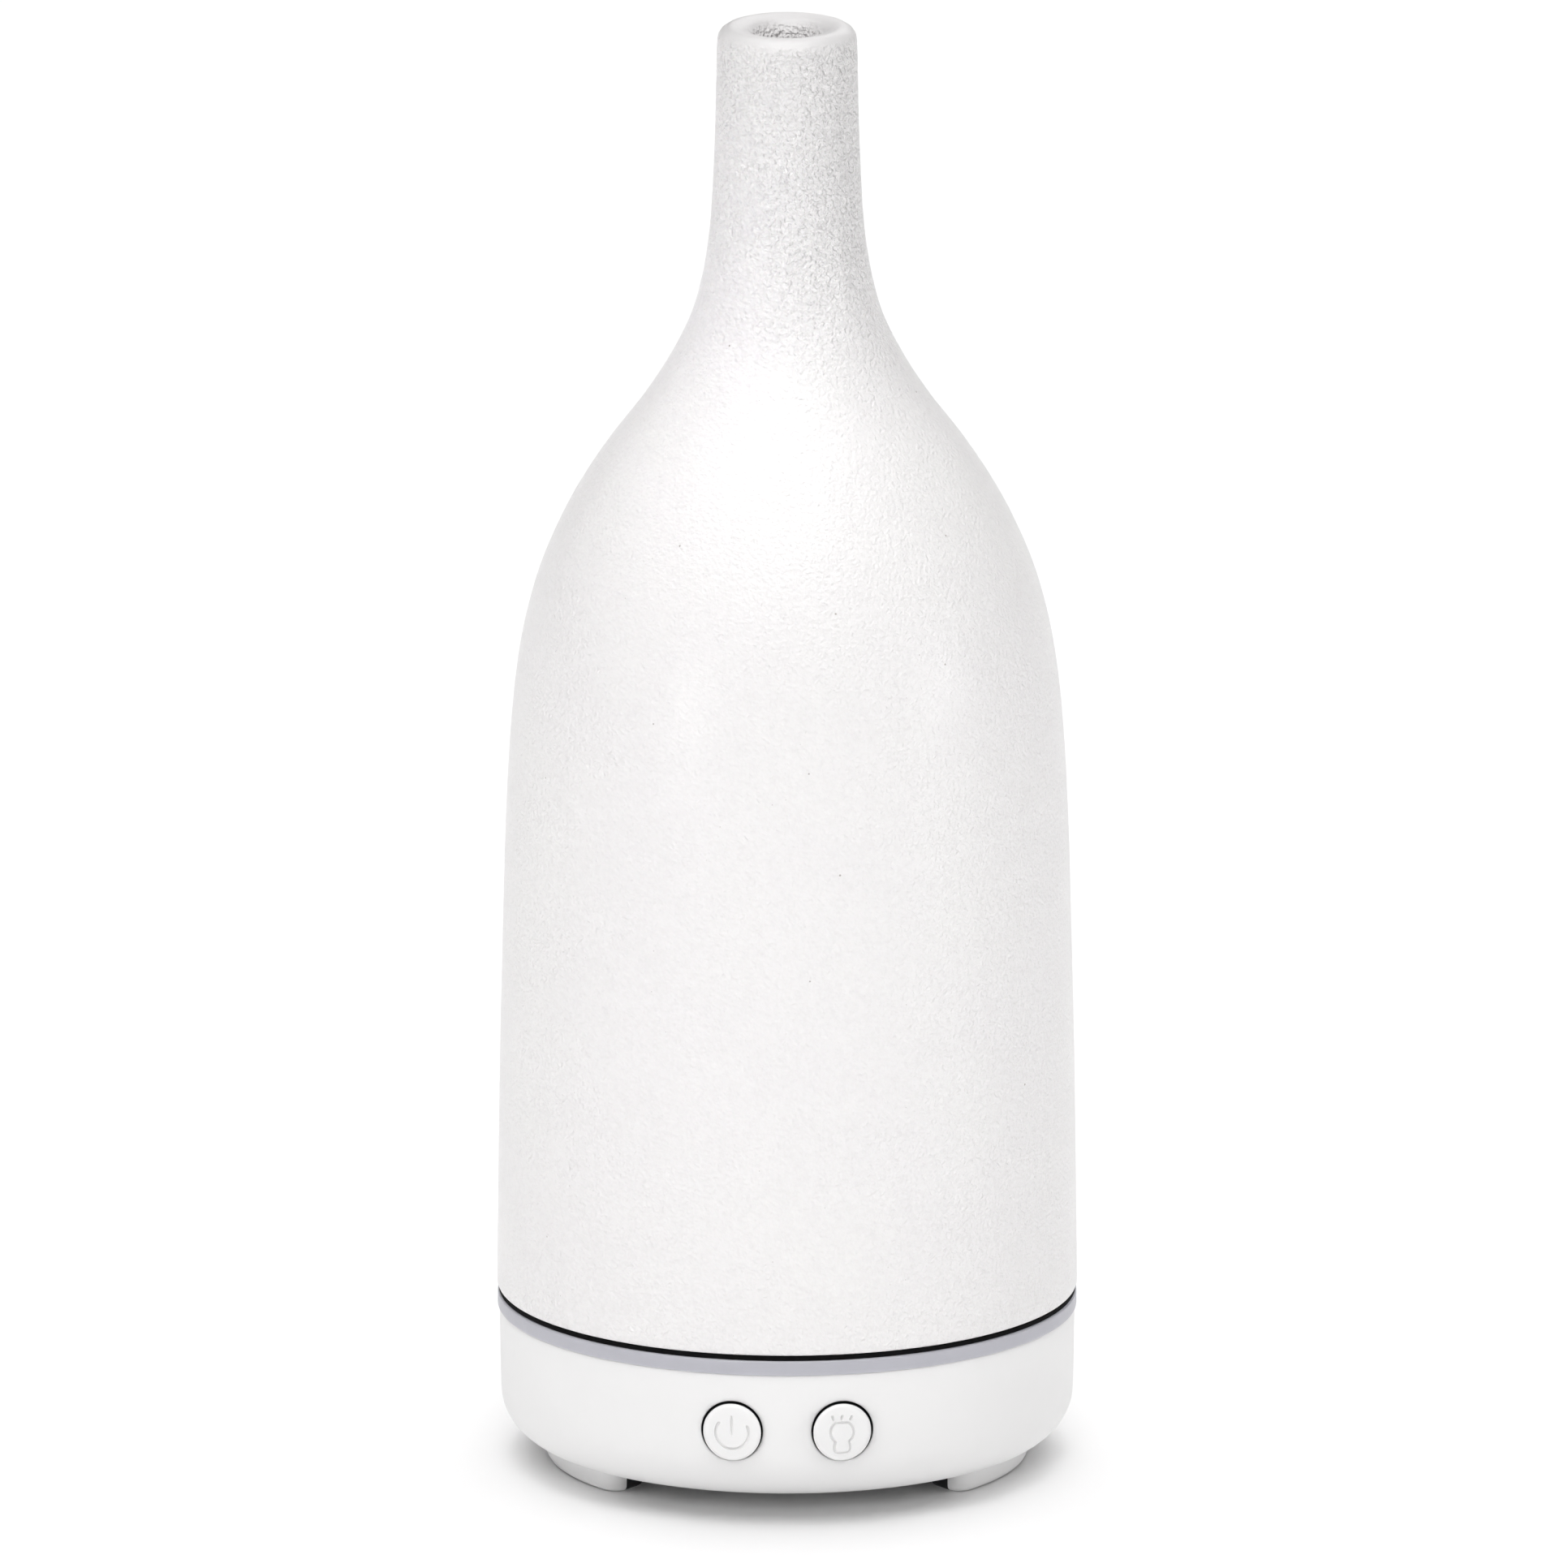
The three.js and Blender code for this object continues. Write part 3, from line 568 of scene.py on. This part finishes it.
def metal(name, color, roughness, stretch=(1, 1, 0.08)):
    """Bright metal with drawn or turned marks and dull patches."""
    look = Look(name, color, roughness, Metallic=1.0)
    look.tint(look.ranged(look.noise(3, 4), 0.45, 0.75, 0, 0.5), tuple(c * 0.8 for c in color))
    look.vary_roughness(look.noise(0.4, 3, stretch=stretch), 0.09)
    look.relief(look.noise(0.15, 2, stretch=stretch), 0.002)
    return look.material


def circuit_board():
    """Green solder mask over copper tracks, with tinned vias."""
    look = Look("solder_mask", (0.018, 0.13, 0.052), 0.32)
    tracks = look.cells(2.4, "DISTANCE_TO_EDGE")
    look.tint(look.ranged(tracks.outputs["Distance"], 0.1, 0.14, 0.55, 0), (0.05, 0.25, 0.1))
    vias = look.cells(4.1)
    look.tint(look.ranged(vias.outputs["Distance"], 0.07, 0.09, 0.9, 0), (0.62, 0.6, 0.55))
    look.vary_roughness(look.noise(4, 3), 0.05)
    look.relief(look.ranged(tracks.outputs["Distance"], 0.1, 0.14, 1, 0), 0.02)
    return look.material


def winding():
    """Enamelled copper wire, turn over turn, with painted shade in the grooves between the turns."""
    look = Look("enamelled_wire", (0.5, 0.17, 0.06), 0.3, Metallic=1.0)
    turns = look.node("ShaderNodeTexWave", wave_type="BANDS", bands_direction="Z")
    turns.inputs["Scale"].default_value = 0.8
    turns.inputs["Distortion"].default_value = 0.4
    look.join(look.place, turns.inputs["Vector"])
    # Painted shade: the grooves between the turns are darker.
    look.tint(look.ranged(turns.outputs["Fac"], 0.2, 0.6, 0.6, 0), (0.22, 0.06, 0.02))
    look.relief(turns.outputs["Fac"], 0.08)
    look.vary_roughness(look.noise(1, 3), 0.06)
    return look.material


LOOKS = {
    "stoneware": stoneware(),
    "white_shell": moulded("white_satin_plastic", (0.875, 0.872, 0.87), 0.42),
    "tank_plastic": moulded("white_tank_plastic", (0.84, 0.84, 0.83), 0.34),
    "frosted_plastic": frosted("frosted_plastic", (0.78, 0.8, 0.82), 0.4, 3),
    "light_ring": frosted("lamp_ring_plastic", (0.485, 0.485, 0.53), 0.4, 1.5),
    # Painted shade: the cushion is near black, so that the shaded gap between the bottle and the ring shows as a
    # black line.
    "cushion": rubber("shade_black_foam", (0.003, 0.003, 0.0033), 0.9, Specular_IOR_Level=0.12),
    "silicone": rubber("pale_silicone", (0.68, 0.66, 0.62), 0.55),
    "foot_pad": rubber("grey_pad_rubber", (0.42, 0.42, 0.42), 0.7),
    "board": circuit_board(),
    "black_plastic": moulded("black_satin_plastic", (0.012, 0.0125, 0.014), 0.42, 0.006),
    "steel": metal("plated_steel", (0.6, 0.61, 0.62), 0.27, (1, 1, 1)),
    "brass": metal("bright_brass", (0.72, 0.5, 0.2), 0.24),
    "aluminium": metal("extruded_aluminium", (0.62, 0.63, 0.65), 0.36),
    "copper": winding(),
    "ferrite": rubber("sintered_ferrite", (0.045, 0.045, 0.05), 0.6),
    "capacitor": moulded("capacitor_sleeve", (0.012, 0.028, 0.085), 0.35),
    "socket": moulded("cream_nylon", (0.8, 0.75, 0.62), 0.45),
    "led": moulded("lamp_resin", (0.86, 0.77, 0.36), 0.22),
    "piezo": metal("silvered_ceramic", (0.78, 0.72, 0.6), 0.42, (1, 1, 1)),
    "lead": moulded("red_insulation", (0.36, 0.02, 0.018), 0.4),
}


# ---------------------------------------------------------------- stoneware, ring and cushion

BACK = 180  # degrees from the front
CREST = 9.4  # radius of the lip's highest line, inside which it dips to the mouth
LIP_REACH = 8  # how far below the top the CAD's outline is replaced inside the crest
DIP = [  # (radius, depth below the top)
    (9.0, 0.02),
    (8.2, 0.1),
    (7.4, 0.22),
    (6.8, 0.38),
    (6.3, 0.64),
    (5.9, 1.0),
    (5.5, 1.6),
    (5.1, 2.4),
    (4.75, 3.5),
    (4.5, 5),
    (4.35, 7.5),
]
outline = refined(section("ceramic_cover", BACK), step=1.25, fillet=0.3)
top = outline[:, 1].max()
lip = [i for i, (r, z) in enumerate(outline) if z > top - LIP_REACH and r < CREST]
dipped = [(r, top - depth) for r, depth in DIP]
outline = np.concatenate([outline[: lip[0]], dipped, outline[lip[-1] + 1 :]])
finish_piece(spun("stoneware_bottle", outline), "ceramic_cover", "stoneware", "ceramic_cover")

outline = refined(section("light_ring", BACK), step=3, fillet=0.16)
finish_piece(spun("lamp_ring", outline), "base", "light_ring", "light_ring")

CUSHION_WIDER, CUSHION_TALLER = 0.5, 0.08  # than the CAD's, so that the black cushion paints the shaded gap as a dark line
low, high = box_mm("cover_cushion")
low_z, high_z, outer = low[2], high[2] + CUSHION_TALLER, high[0] + CUSHION_WIDER
inner = min(r for r, _ in section("cover_cushion", BACK))
outline = refined(np.array([(inner, low_z), (outer, low_z), (outer, high_z), (inner, high_z)]), step=1, fillet=0.1)
finish_piece(spun("foam_cushion", outline), "base", "cushion", "cover_cushion")

outline = refined(section("inner_cover", BACK), step=1.6, fillet=0.35)
finish_piece(spun("frosted_dome", outline, LESS_ROUND), "inner_cover", "frosted_plastic", "inner_cover")


# ---------------------------------------------------------------- base shell

CLEAR_OF_HOLES = 150  # degrees from the front
wall = refined(section("base_shell", CLEAR_OF_HOLES), step=1, fillet=0.3)


def wall_radius(z):
    """The outer radius of the base's wall at a height."""
    z = min(z, wall[:, 1].max())
    crossings = []
    for (r0, z0), (r1, z1) in zip(wall, np.roll(wall, -1, axis=0)):
        if min(z0, z1) <= z <= max(z0, z1) and abs(z1 - z0) > 1e-9:
            crossings.append(r0 + (r1 - r0) * (z - z0) / (z1 - z0))
    return max(crossings)


def wall_surface(x, z):
    """How far in front of the axis the base's wall is."""
    return -math.sqrt(wall_radius(z) ** 2 - x * x)


INSIDE_WALL, OUTSIDE_WALL = 38, 50  # distances from the axis where the cutters for the wall start and end
HOLE_RADIUS, HOLE_EDGE = 4.85, 0.22
HOLE_SIDES = 96
FLARE_TURN = 1.35  # radians of the rounding that the cutter follows before it goes straight on outwards


def hole_tool(x, z):
    """A cutter for a button's hole through the front wall, flared so that it rounds the hole's edge."""
    flare = HOLE_RADIUS + HOLE_EDGE * 1.3
    rings = [ring_at(x, -INSIDE_WALL, z, HOLE_RADIUS, HOLE_SIDES)]
    steps = [
        (HOLE_RADIUS + HOLE_EDGE * (1 - math.cos(t)), HOLE_EDGE * (1 - math.sin(t)))
        for t in np.linspace(0, FLARE_TURN, 6)
    ]
    for r, inward in [*steps, (flare, -HOLE_EDGE * 0.3)]:
        ring = ring_at(x, 0, z, r, HOLE_SIDES)
        rings.append([(px, wall_surface(px, pz) + inward, pz) for px, _, pz in ring])
    rings.append(ring_at(x, -OUTSIDE_WALL, z, flare, HOLE_SIDES))
    return lofted("hole", rings)


def centre_mm(node):
    """The centre of a CAD node's box, in millimetres."""
    low, high = box_mm(node)
    return (low + high) / 2


def button_place(node):
    """Where a button's axis is, across and up, from its CAD node."""
    x, _, z = centre_mm(node)
    return x, z


BUTTONS = {name: button_place(name) for name in ("power_button", "light_button")}
JACK_Z = centre_mm("power_jack_pin")[2]
JACK_FACE = box_mm("power_jack")[1][1]
INLET_RADIUS, INLET_START = 4.8, 36
SINK_RADIUS, SINK_DEPTH = 5.8, 0.4  # a shallow recess round the inlet

tools = [hole_tool(x, z) for x, z in BUTTONS.values()]
sink = JACK_FACE - SINK_DEPTH
cut = [(INLET_RADIUS, INLET_START), (INLET_RADIUS, sink), (SINK_RADIUS, sink), (SINK_RADIUS, OUTSIDE_WALL)]
tools.append(cross_turned("hole", cut, 0, JACK_Z, HOLE_SIDES))
shell = carved(spun("base_wall", wall), tools)
finish_piece(shell, "base", "white_shell", "base_shell")


# ---------------------------------------------------------------- buttons

KEY_RADIUS, KEY_EDGE = 4.56, 0.55
KEY_SIDES = 128
KEY_BACK = [(1.8, -37.4), (1.8, -39.3), (5.25, -39.3), (5.25, -40.2), (KEY_RADIUS, -40.2)]  # (radius, y)
FACE_RINGS = (3.5, 3, 2.5, 2, 1.5, 1, 0.5)
PROUD_OF, PROUD = 15, 1.45  # a height, and how far a button's face stands before the wall's radius there
KEY_SHADE_START = 0.95  # how far behind a button's face the black painted shade on its side starts
HOLE_SHADE_START = 0.3  # how far behind the wall's face the black painted shade in a button's hole starts
GROOVE_WIDTH, GROOVE_DEPTH, GROOVE_LINES = 0.46, 0.38, 10
STROKE_STEPS = 6


def key_face(x):
    """How far in front of the axis the face of a button is: it follows the wall's curve."""
    proud = wall_radius(PROUD_OF) + PROUD
    return -math.sqrt(proud**2 - x * x)


def button(name, node, strokes):
    """A round key with a stem, a flange behind the wall, a rounded face and engraved strokes."""
    cx, cz = BUTTONS[node]
    rings = [ring_at(cx, y, cz, r, KEY_SIDES) for r, y in KEY_BACK]
    front = [(KEY_RADIUS, KEY_SHADE_START)]
    for t in np.linspace(0, math.pi / 2, 7):
        front.append((KEY_RADIUS - KEY_EDGE * (1 - math.cos(t)), KEY_EDGE * (1 - math.sin(t))))
    front += [(r, 0) for r in FACE_RINGS]
    for r, behind in front:
        rings.append([(px, key_face(px) + behind, pz) for px, _, pz in ring_at(cx, 0, cz, r, KEY_SIDES)])
    return carved(lofted(name, rings), [groove(stroke, cx, cz) for stroke in strokes], smooth=50)


def groove(stroke, cx, cz):
    """A cutter for a round-bottomed line in a button's face, through (across, up) points from the button's centre.

    A stroke that doesn't close gets narrower at its ends.
    """
    path = np.array(stroke)
    closes = np.linalg.norm(path[0] - path[-1]) < TINY
    if closes:
        path = path[:-1]
        along = np.roll(path, -1, axis=0) - np.roll(path, 1, axis=0)
    else:
        along = np.gradient(path, axis=0)
    along /= np.linalg.norm(along, axis=1)[:, None]
    side = np.stack([-along[:, 1], along[:, 0]], axis=1)
    points, faces = [], []
    count = len(path)
    for i, p in enumerate(path):
        size = 1.0 if closes or 0 < i < count - 1 else 0.6
        for k in range(GROOVE_LINES):
            t = 2 * math.pi * k / GROOVE_LINES
            u, v = p + side[i] * math.cos(t) * GROOVE_WIDTH / 2 * size
            points.append((cx + u, key_face(cx + u) + GROOVE_DEPTH * math.sin(t) * size, cz + v))
    for i in range(count if closes else count - 1):
        a, b = i * GROOVE_LINES, (i + 1) % count * GROOVE_LINES
        for k in range(GROOVE_LINES):
            n = (k + 1) % GROOVE_LINES
            faces.append((a + k, a + n, b + n, b + k))
    if not closes:
        faces.append(tuple(range(GROOVE_LINES)))
        faces.append(tuple(range((count - 1) * GROOVE_LINES, count * GROOVE_LINES)))
    return piece("groove", points, faces)


def arc_points(x, z, radius, start, end, steps=40):
    """Points on an arc round (x, z), angles in degrees from +X."""
    return [
        (x + radius * math.cos(math.radians(a)), z + radius * math.sin(math.radians(a)))
        for a in np.linspace(start, end, steps)
    ]


def line_points(a, b):
    """Points on a straight line."""
    return [tuple(np.array(a) * (1 - t) + np.array(b) * t) for t in np.linspace(0, 1, STROKE_STEPS)]


POWER_SIGN = [
    arc_points(0, 0.05, 2.62, 138, 391),
    line_points((-0.1, 2.85), (-0.1, -0.35)),
]
BULB = (
    arc_points(0, 0.12, 1.85, -54, 60, 18)
    + arc_points(0, 0.12, 1.85, 120, 234, 18)
    + [(-1.17, -1.75), (-1.24, -2.3)]
    + arc_points(-0.6, -2.55, 0.64, 180, 262, 7)
    + arc_points(0.6, -2.55, 0.64, 278, 360, 7)
    + [(1.24, -2.3), (1.17, -1.75)]
)
LAMP_SIGN = [
    BULB + BULB[:1],
    line_points((-1.62, 2.95), (-1.36, 2.1)),
    line_points((0.03, 3.0), (-0.1, 2.0)),
    line_points((1.6, 2.8), (1.2, 2.05)),
]

keys = [
    finish_piece(button(name, node, sign), node, "white_shell", node)
    for name, node, sign in (("power_key", "power_button", POWER_SIGN), ("lamp_key", "light_button", LAMP_SIGN))
]


def painted_shade_black(obj, chosen):
    """The chosen faces of a piece, given by their centres in millimetres, get the black plastic as painted shade."""
    obj.data.materials.append(LOOKS["black_plastic"])
    for polygon in obj.data.polygons:
        if chosen(*(polygon.center / MM)):
            polygon.material_index = 1


def in_hole_shade(x, y, z):
    """Whether a point is on the wall of a button's hole, behind its rounded edge, where black paints the shade in
    the gap.
    """
    near = any(math.hypot(x - cx, z - cz) < HOLE_RADIUS + 0.1 for cx, cz in BUTTONS.values())
    return near and wall_surface(x, z) + HOLE_SHADE_START < y < 0


# Painted shade: the sides of the keys and the walls of their holes are black, so that the gap round each key shows
# dark.
for key in keys:
    painted_shade_black(key, lambda x, y, z: y > key_face(x) + KEY_SHADE_START)
painted_shade_black(shell, in_hole_shade)


# ---------------------------------------------------------------- underside

FRONT = 0
FEET = (46, 134), (226, 314)  # where each foot starts and ends, in degrees from the front
FOOT_RING, FOOT_CORNER = (30, 38.2), 2.8
FOOT_LOW, FOOT_HIGH, FOOT_EDGE = 0.15, 4, 0.9
END_HEIGHTS, END_RADII, END_ANGLE = (0.3, 3.9), (29.5, 35.6), 4  # where the end faces of the feet are, which get black as painted shade
PAD_RING, PAD_HALF, PAD_TOP = (31.8, 36.4), 8, 0.95  # radii, half the angle and height of a pad
RECESS_RING, RECESS_HALF, RECESS_TOP = (31.6, 36.6), 8.3, 1  # the same of the recess that holds it
PAD_CORNER, PAD_STEPS = 0.8, 12
FAN_OPENING = 13  # radius of the round of slots under the fan
SLOT_REACH, SLOT_PITCH, SLOT_LOW, SLOT_HIGH = 12, 4, 2, 7
WELL = [(0, 2), (2.9, 2), (2.9, 4.9), (0, 4.9)]  # round a screw's head
SCREW_SIDES = 48


def pad_angle(node):
    """Where a pad is, in degrees from the front."""
    x, y, _ = centre_mm(node)
    return math.degrees(math.atan2(x, -y))


def in_foot_end_shade(x, y, z):
    """Whether a point is on an end face of a foot, where black paints the shade under the base."""
    around = math.degrees(math.atan2(x, -y)) % 360
    return (
        END_HEIGHTS[0] < z < END_HEIGHTS[1]
        and END_RADII[0] < math.hypot(x, y) < END_RADII[1]
        and any(abs(around - end) < END_ANGLE for ends in FEET for end in ends)
    )


def moved(obj, x, y=0):
    """A piece moved sideways, in millimetres."""
    obj.data.transform(Matrix.Translation((x * MM, y * MM, 0)))
    return obj


def slot_plan(x, half):
    """The plan outline of a slot along Y, 2 wide with round ends."""
    return np.array(
        [
            (x + math.cos(a), end + math.sin(a))
            for end, first in ((half - 1, 0), (-half + 1, math.pi))
            for a in np.linspace(first, first + math.pi, 9)
        ]
    )


pads = {n: pad_angle(n) for n in nodes if n.startswith("foot_pad")}
screws = {n: centre_mm(n) for n in nodes if n.startswith("case_screw")}
disc = refined(section("bottom_cover", FRONT), step=4, fillet=0.2, closed=False)
under = spun("underside", disc, closed=False)
feet = [slab("foot", sector(*FOOT_RING, a, b, FOOT_CORNER), FOOT_LOW, FOOT_HIGH, FOOT_EDGE) for a, b in FEET]
under = carved(under, feet, "UNION")
tools = []
for angle in pads.values():
    plan = sector(*RECESS_RING, angle - RECESS_HALF, angle + RECESS_HALF, PAD_CORNER, PAD_STEPS)
    tools.append(slab("recess", plan, -1, RECESS_TOP))
fan_x = centre_mm("fan_frame")[0]
for dx in range(-SLOT_REACH, SLOT_REACH + 1, SLOT_PITCH):
    half = math.sqrt(FAN_OPENING**2 - dx**2) - 0.5
    tools.append(slab("slot", slot_plan(fan_x + dx, half), SLOT_LOW, SLOT_HIGH))
for x, y, _ in screws.values():
    tools.append(moved(spun("well", WELL, SCREW_SIDES, closed=False), x, y))
under = carved(under, tools)
finish_piece(under, "base", "white_shell", "bottom_cover")
# Painted shade: the end faces of the feet are black.
painted_shade_black(under, in_foot_end_shade)
for node, angle in pads.items():
    plan = sector(*PAD_RING, angle - PAD_HALF, angle + PAD_HALF, PAD_CORNER, PAD_STEPS)
    pad = slab(node.replace("foot_pad", "grip"), plan, 0, PAD_TOP, edge_low=0.2)
    finish_piece(pad, "base", "foot_pad", node)

SHANK = 1.2
HEAD = [(1.2, 0.04), (1.95, 0.2), (2.4, 0.55), (2.6, 1), (2.6, 1.2)]  # (radius, height above the screw's low end)
CROSS_TURN, CROSS_DEPTH = 0.3, 0.75
ARM = np.array([(-1.5, -0.28), (1.5, -0.28), (1.5, 0.28), (-1.5, 0.28)])
for node, (x, y, _) in screws.items():
    low_z, high_z = (corner[2] for corner in box_mm(node))
    outline = [(0, low_z), *((r, low_z + up) for r, up in HEAD)]
    outline += [(SHANK, low_z + HEAD[-1][1]), (SHANK, high_z - SHANK), (0, high_z)]
    screw = spun(node.replace("case_screw", "screw"), outline, SCREW_SIDES, closed=False)
    cross = []
    for turn in (CROSS_TURN, CROSS_TURN + math.pi / 2):
        arm = slab("arm", ARM, low_z - 0.5, low_z + CROSS_DEPTH)
        arm.data.transform(Matrix.Rotation(turn, 4, "Z"))
        cross.append(arm)
    screw = moved(carved(screw, cross, smooth=30), x, y)
    finish_piece(screw, "base", "steel", node)


# ---------------------------------------------------------------- power inlet

BORE_RADIUS, BORE_END = 3.1, 34.5  # the end's distance behind the axis
BLOCK_HEIGHT, BLOCK_EDGE = 9.8, 0.3
nose = [(4.4, 42), (4.4, JACK_FACE - 0.25), (4.3, JACK_FACE - 0.07), (4.12, JACK_FACE)]
bore = [(3.4, JACK_FACE), (3.2, JACK_FACE - 0.1), (BORE_RADIUS, JACK_FACE - 0.3), (BORE_RADIUS, BORE_END)]
inlet = cross_turned("inlet_socket", nose + bore, 0, JACK_Z)
block_plan = np.array([(-4.5, 29), (4.5, 29), (4.5, 42.2), (-4.5, 42.2)])
block_low = box_mm("power_jack")[0][2]
block = slab("block", block_plan, block_low, block_low + BLOCK_HEIGHT, BLOCK_EDGE, BLOCK_EDGE)
carved(block, [cross_turned("bore", [(BORE_RADIUS, BORE_END), (BORE_RADIUS, OUTSIDE_WALL)], 0, JACK_Z)])
merged(inlet, [block])
finish_piece(inlet, "base", "black_plastic", "power_jack")
tip = box_mm("power_jack_pin")[1][1]
pin = cross_turned("inlet_pin", [(1, BORE_END), (1, tip - 0.6), (0.85, tip - 0.25), (0.5, tip)], 0, JACK_Z, 32)
finish_piece(pin, "base", "brass", "power_jack_pin")


# ---------------------------------------------------------------- tank

CLEAR_OF_BOSSES = 160  # degrees from the front
PIPE = [(5, 28), (6.4, 31.5), (6.4, 76), (5, 76)]
PIPE_BORE = [(0, 29), (5.2, 29), (5.2, 60), (0, 60)]
DISC_OPENING = [(0, 29), (8.5, 29), (8.5, 33.6), (9.2, 36), (0, 36)]
DISC_RADIUS = 10
LEVEL_LINE = [(32.6, 61.6), (33.2, 61.6), (33.2, 62.4), (32.6, 62.4)]  # the ridge that marks the water's limit
FIN_PLAN = np.array([(-0.8, 34.8), (0.8, 34.8), (0.8, 41), (-0.8, 41)])  # the fins that centre the bottle
FIN_LOW, FIN_HIGH = 26.6, 37.4

tank = refined(section("water_tank", CLEAR_OF_BOSSES), step=3, fillet=0.3, closed=False)
body = spun("tank_body", tank, LESS_ROUND, closed=False)
pipe = moved(spun("pipe", refined(np.array(PIPE), 4, 0.4), 64), fan_x)
disc_x = box_mm("transducer_disc")[0][0] + DISC_RADIUS
tools = [
    moved(spun("bore", PIPE_BORE, 64, closed=False), fan_x),
    moved(spun("opening", DISC_OPENING, 96, closed=False), disc_x),
]
body = carved(body, tools)
fins = []
for angle in (45, 135, 225, 315):
    fin = slab("fin", FIN_PLAN, FIN_LOW, FIN_HIGH, 0.2, 0.3)
    fin.data.transform(Matrix.Rotation(math.radians(angle), 4, "Z"))
    fins.append(fin)
level = spun("level", LEVEL_LINE, LESS_ROUND)
merged(body, [pipe, level, *fins])
finish_piece(body, "base", "tank_plastic", "water_tank")


# ---------------------------------------------------------------- the CAD nodes that stay

WORN = 0.12 * MM  # width of the bevel on sharp edges
slots = {s["node"]: s["material_slot"] for s in record["subparts"]}
for name, obj in nodes.items():
    obj.data.materials.clear()
    obj.data.materials.append(LOOKS[slots[name]])
    if not obj.hide_render:
        bevel = obj.modifiers.new("worn_edges", "BEVEL")
        bevel.width = WORN
        bevel.segments = 2
        bevel.limit_method = "ANGLE"
        bevel.angle_limit = math.radians(SMOOTH_TURN)


# ---------------------------------------------------------------- floor, light and camera

FLOOR_REACH = 6
low, high = CAD_BOX
middle = (low + high) / 2

bm = bmesh.new()
bmesh.ops.create_grid(bm, x_segments=4, y_segments=4, size=FLOOR_REACH)
mesh = bpy.data.meshes.new("floor")
bm.to_mesh(mesh)
bm.free()
floor = bpy.data.objects.new("floor", mesh)
bpy.context.scene.collection.objects.link(floor)
pale = Look("pale_floor", (0.9, 0.9, 0.9), 0.7)
pale.vary_roughness(pale.noise(40, 3), 0.05)
mesh.materials.append(pale.material)


def lamp(name, kind, direction, aim=middle, distance=1.5, **settings):
    """A light in a direction (degrees from the front, degrees up) from a point, in metres."""
    data = bpy.data.lights.new(name, kind)
    for key, value in settings.items():
        setattr(data, key, value)
    light = bpy.data.objects.new(name, data)
    bpy.context.scene.collection.objects.link(light)
    around, up = map(math.radians, direction)
    toward = Vector((math.sin(around) * math.cos(up), -math.cos(around) * math.cos(up), math.sin(up)))
    light.location = Vector(aim) + toward * distance
    light.rotation_euler = toward.to_track_quat("Z", "Y").to_euler()
    return light


def softbox(name, direction, gain, aim=middle, distance=1.5, spread=180, **settings):
    """A square area light that makes a white surface facing it brighter by the gain. A grid narrows its spread."""
    energy = gain * math.pi**2 * distance**2
    half = math.radians(spread / 2)
    if spread < 180:
        energy *= (math.tan(half) - half) / math.tan(half)
    light = lamp(name, "AREA", direction, aim, distance, energy=energy, spread=2 * half, **settings)
    light.visible_camera = False


def on_axis(share):
    """The point on the axis at a share of the object's height."""
    return Vector((0, 0, low.z + share * (high.z - low.z)))


lower, shoulder, neck = on_axis(0.28), on_axis(0.75), on_axis(0.84)
softbox("left", (-44, 4), 0.085, size=0.22)
softbox("right", (75, 4), 0.06, size=0.22)
softbox("left_low", (-40, 5), 0.315, aim=lower, distance=0.9, spread=20, size=0.3)
softbox("right_low", (66, 5), 0.4, aim=lower, distance=0.9, spread=20, size=0.3)
softbox("left_high", (-44, 4), 0.45, aim=neck, distance=1.2, spread=4, size=0.07)
softbox("right_high", (52, 4), 0.14, aim=shoulder, distance=1.2, spread=3, size=0.06)
softbox("back", (165, 30), 0.12, size=0.9)
lamp("top", "SUN", (-12, 68), energy=0.65 * math.pi, angle=math.radians(60))
lamp("overhead", "SUN", (180, 80), energy=0.34 * math.pi, angle=math.radians(60))
lamp("floor_wash", "SUN", (180, 82), energy=0.75 * math.pi, angle=math.radians(90))
softbox("floor_front", (0, 24), 0.34, aim=(0, 0, 0), distance=1.2, size=0.6)

# "overhead" lights everything, the floor's own lights only the floor, and the others all but the floor.
for light in bpy.data.objects:
    if light.type == "LIGHT" and light.name != "overhead":
        receivers = bpy.data.collections.new(f"{light.name}_receivers")
        receivers.objects.link(floor)
        light.light_linking.receiver_collection = receivers
        if not light.name.startswith("floor"):
            receivers.collection_objects[0].light_linking.link_state = "EXCLUDE"

world = bpy.data.worlds.new("studio")
bpy.context.scene.world = world
world.use_nodes = True
background = world.node_tree.nodes["Background"]
background.inputs["Color"].default_value = (1, 0.96, 0.97, 1)
background.inputs["Strength"].default_value = 0.1

bpy.context.scene.view_settings.view_transform = "Standard"

LENS = 1400  # a very long lens, because the view is nearly parallel
ELEVATION = math.radians(14.5)
FRAME_HEIGHT = 1.0652 * (high.z - low.z)  # what the square picture spans
AIM_ACROSS, AIM_UP = -0.0005, 0.4695  # in metres, and as a share of the object's height
camera_data = bpy.data.cameras.new("camera")
camera_data.lens = LENS
camera = bpy.data.objects.new("camera", camera_data)
bpy.context.scene.collection.objects.link(camera)
distance = FRAME_HEIGHT * LENS / camera_data.sensor_width
aim = on_axis(AIM_UP) + Vector((AIM_ACROSS, 0, 0))
back = Vector((0, -math.cos(ELEVATION), math.sin(ELEVATION)))
camera.location = aim + back * distance
camera.rotation_euler = (-back).to_track_quat("-Z", "Y").to_euler()
camera_data.clip_start = 0.1
camera_data.clip_end = 100
bpy.context.scene.camera = camera
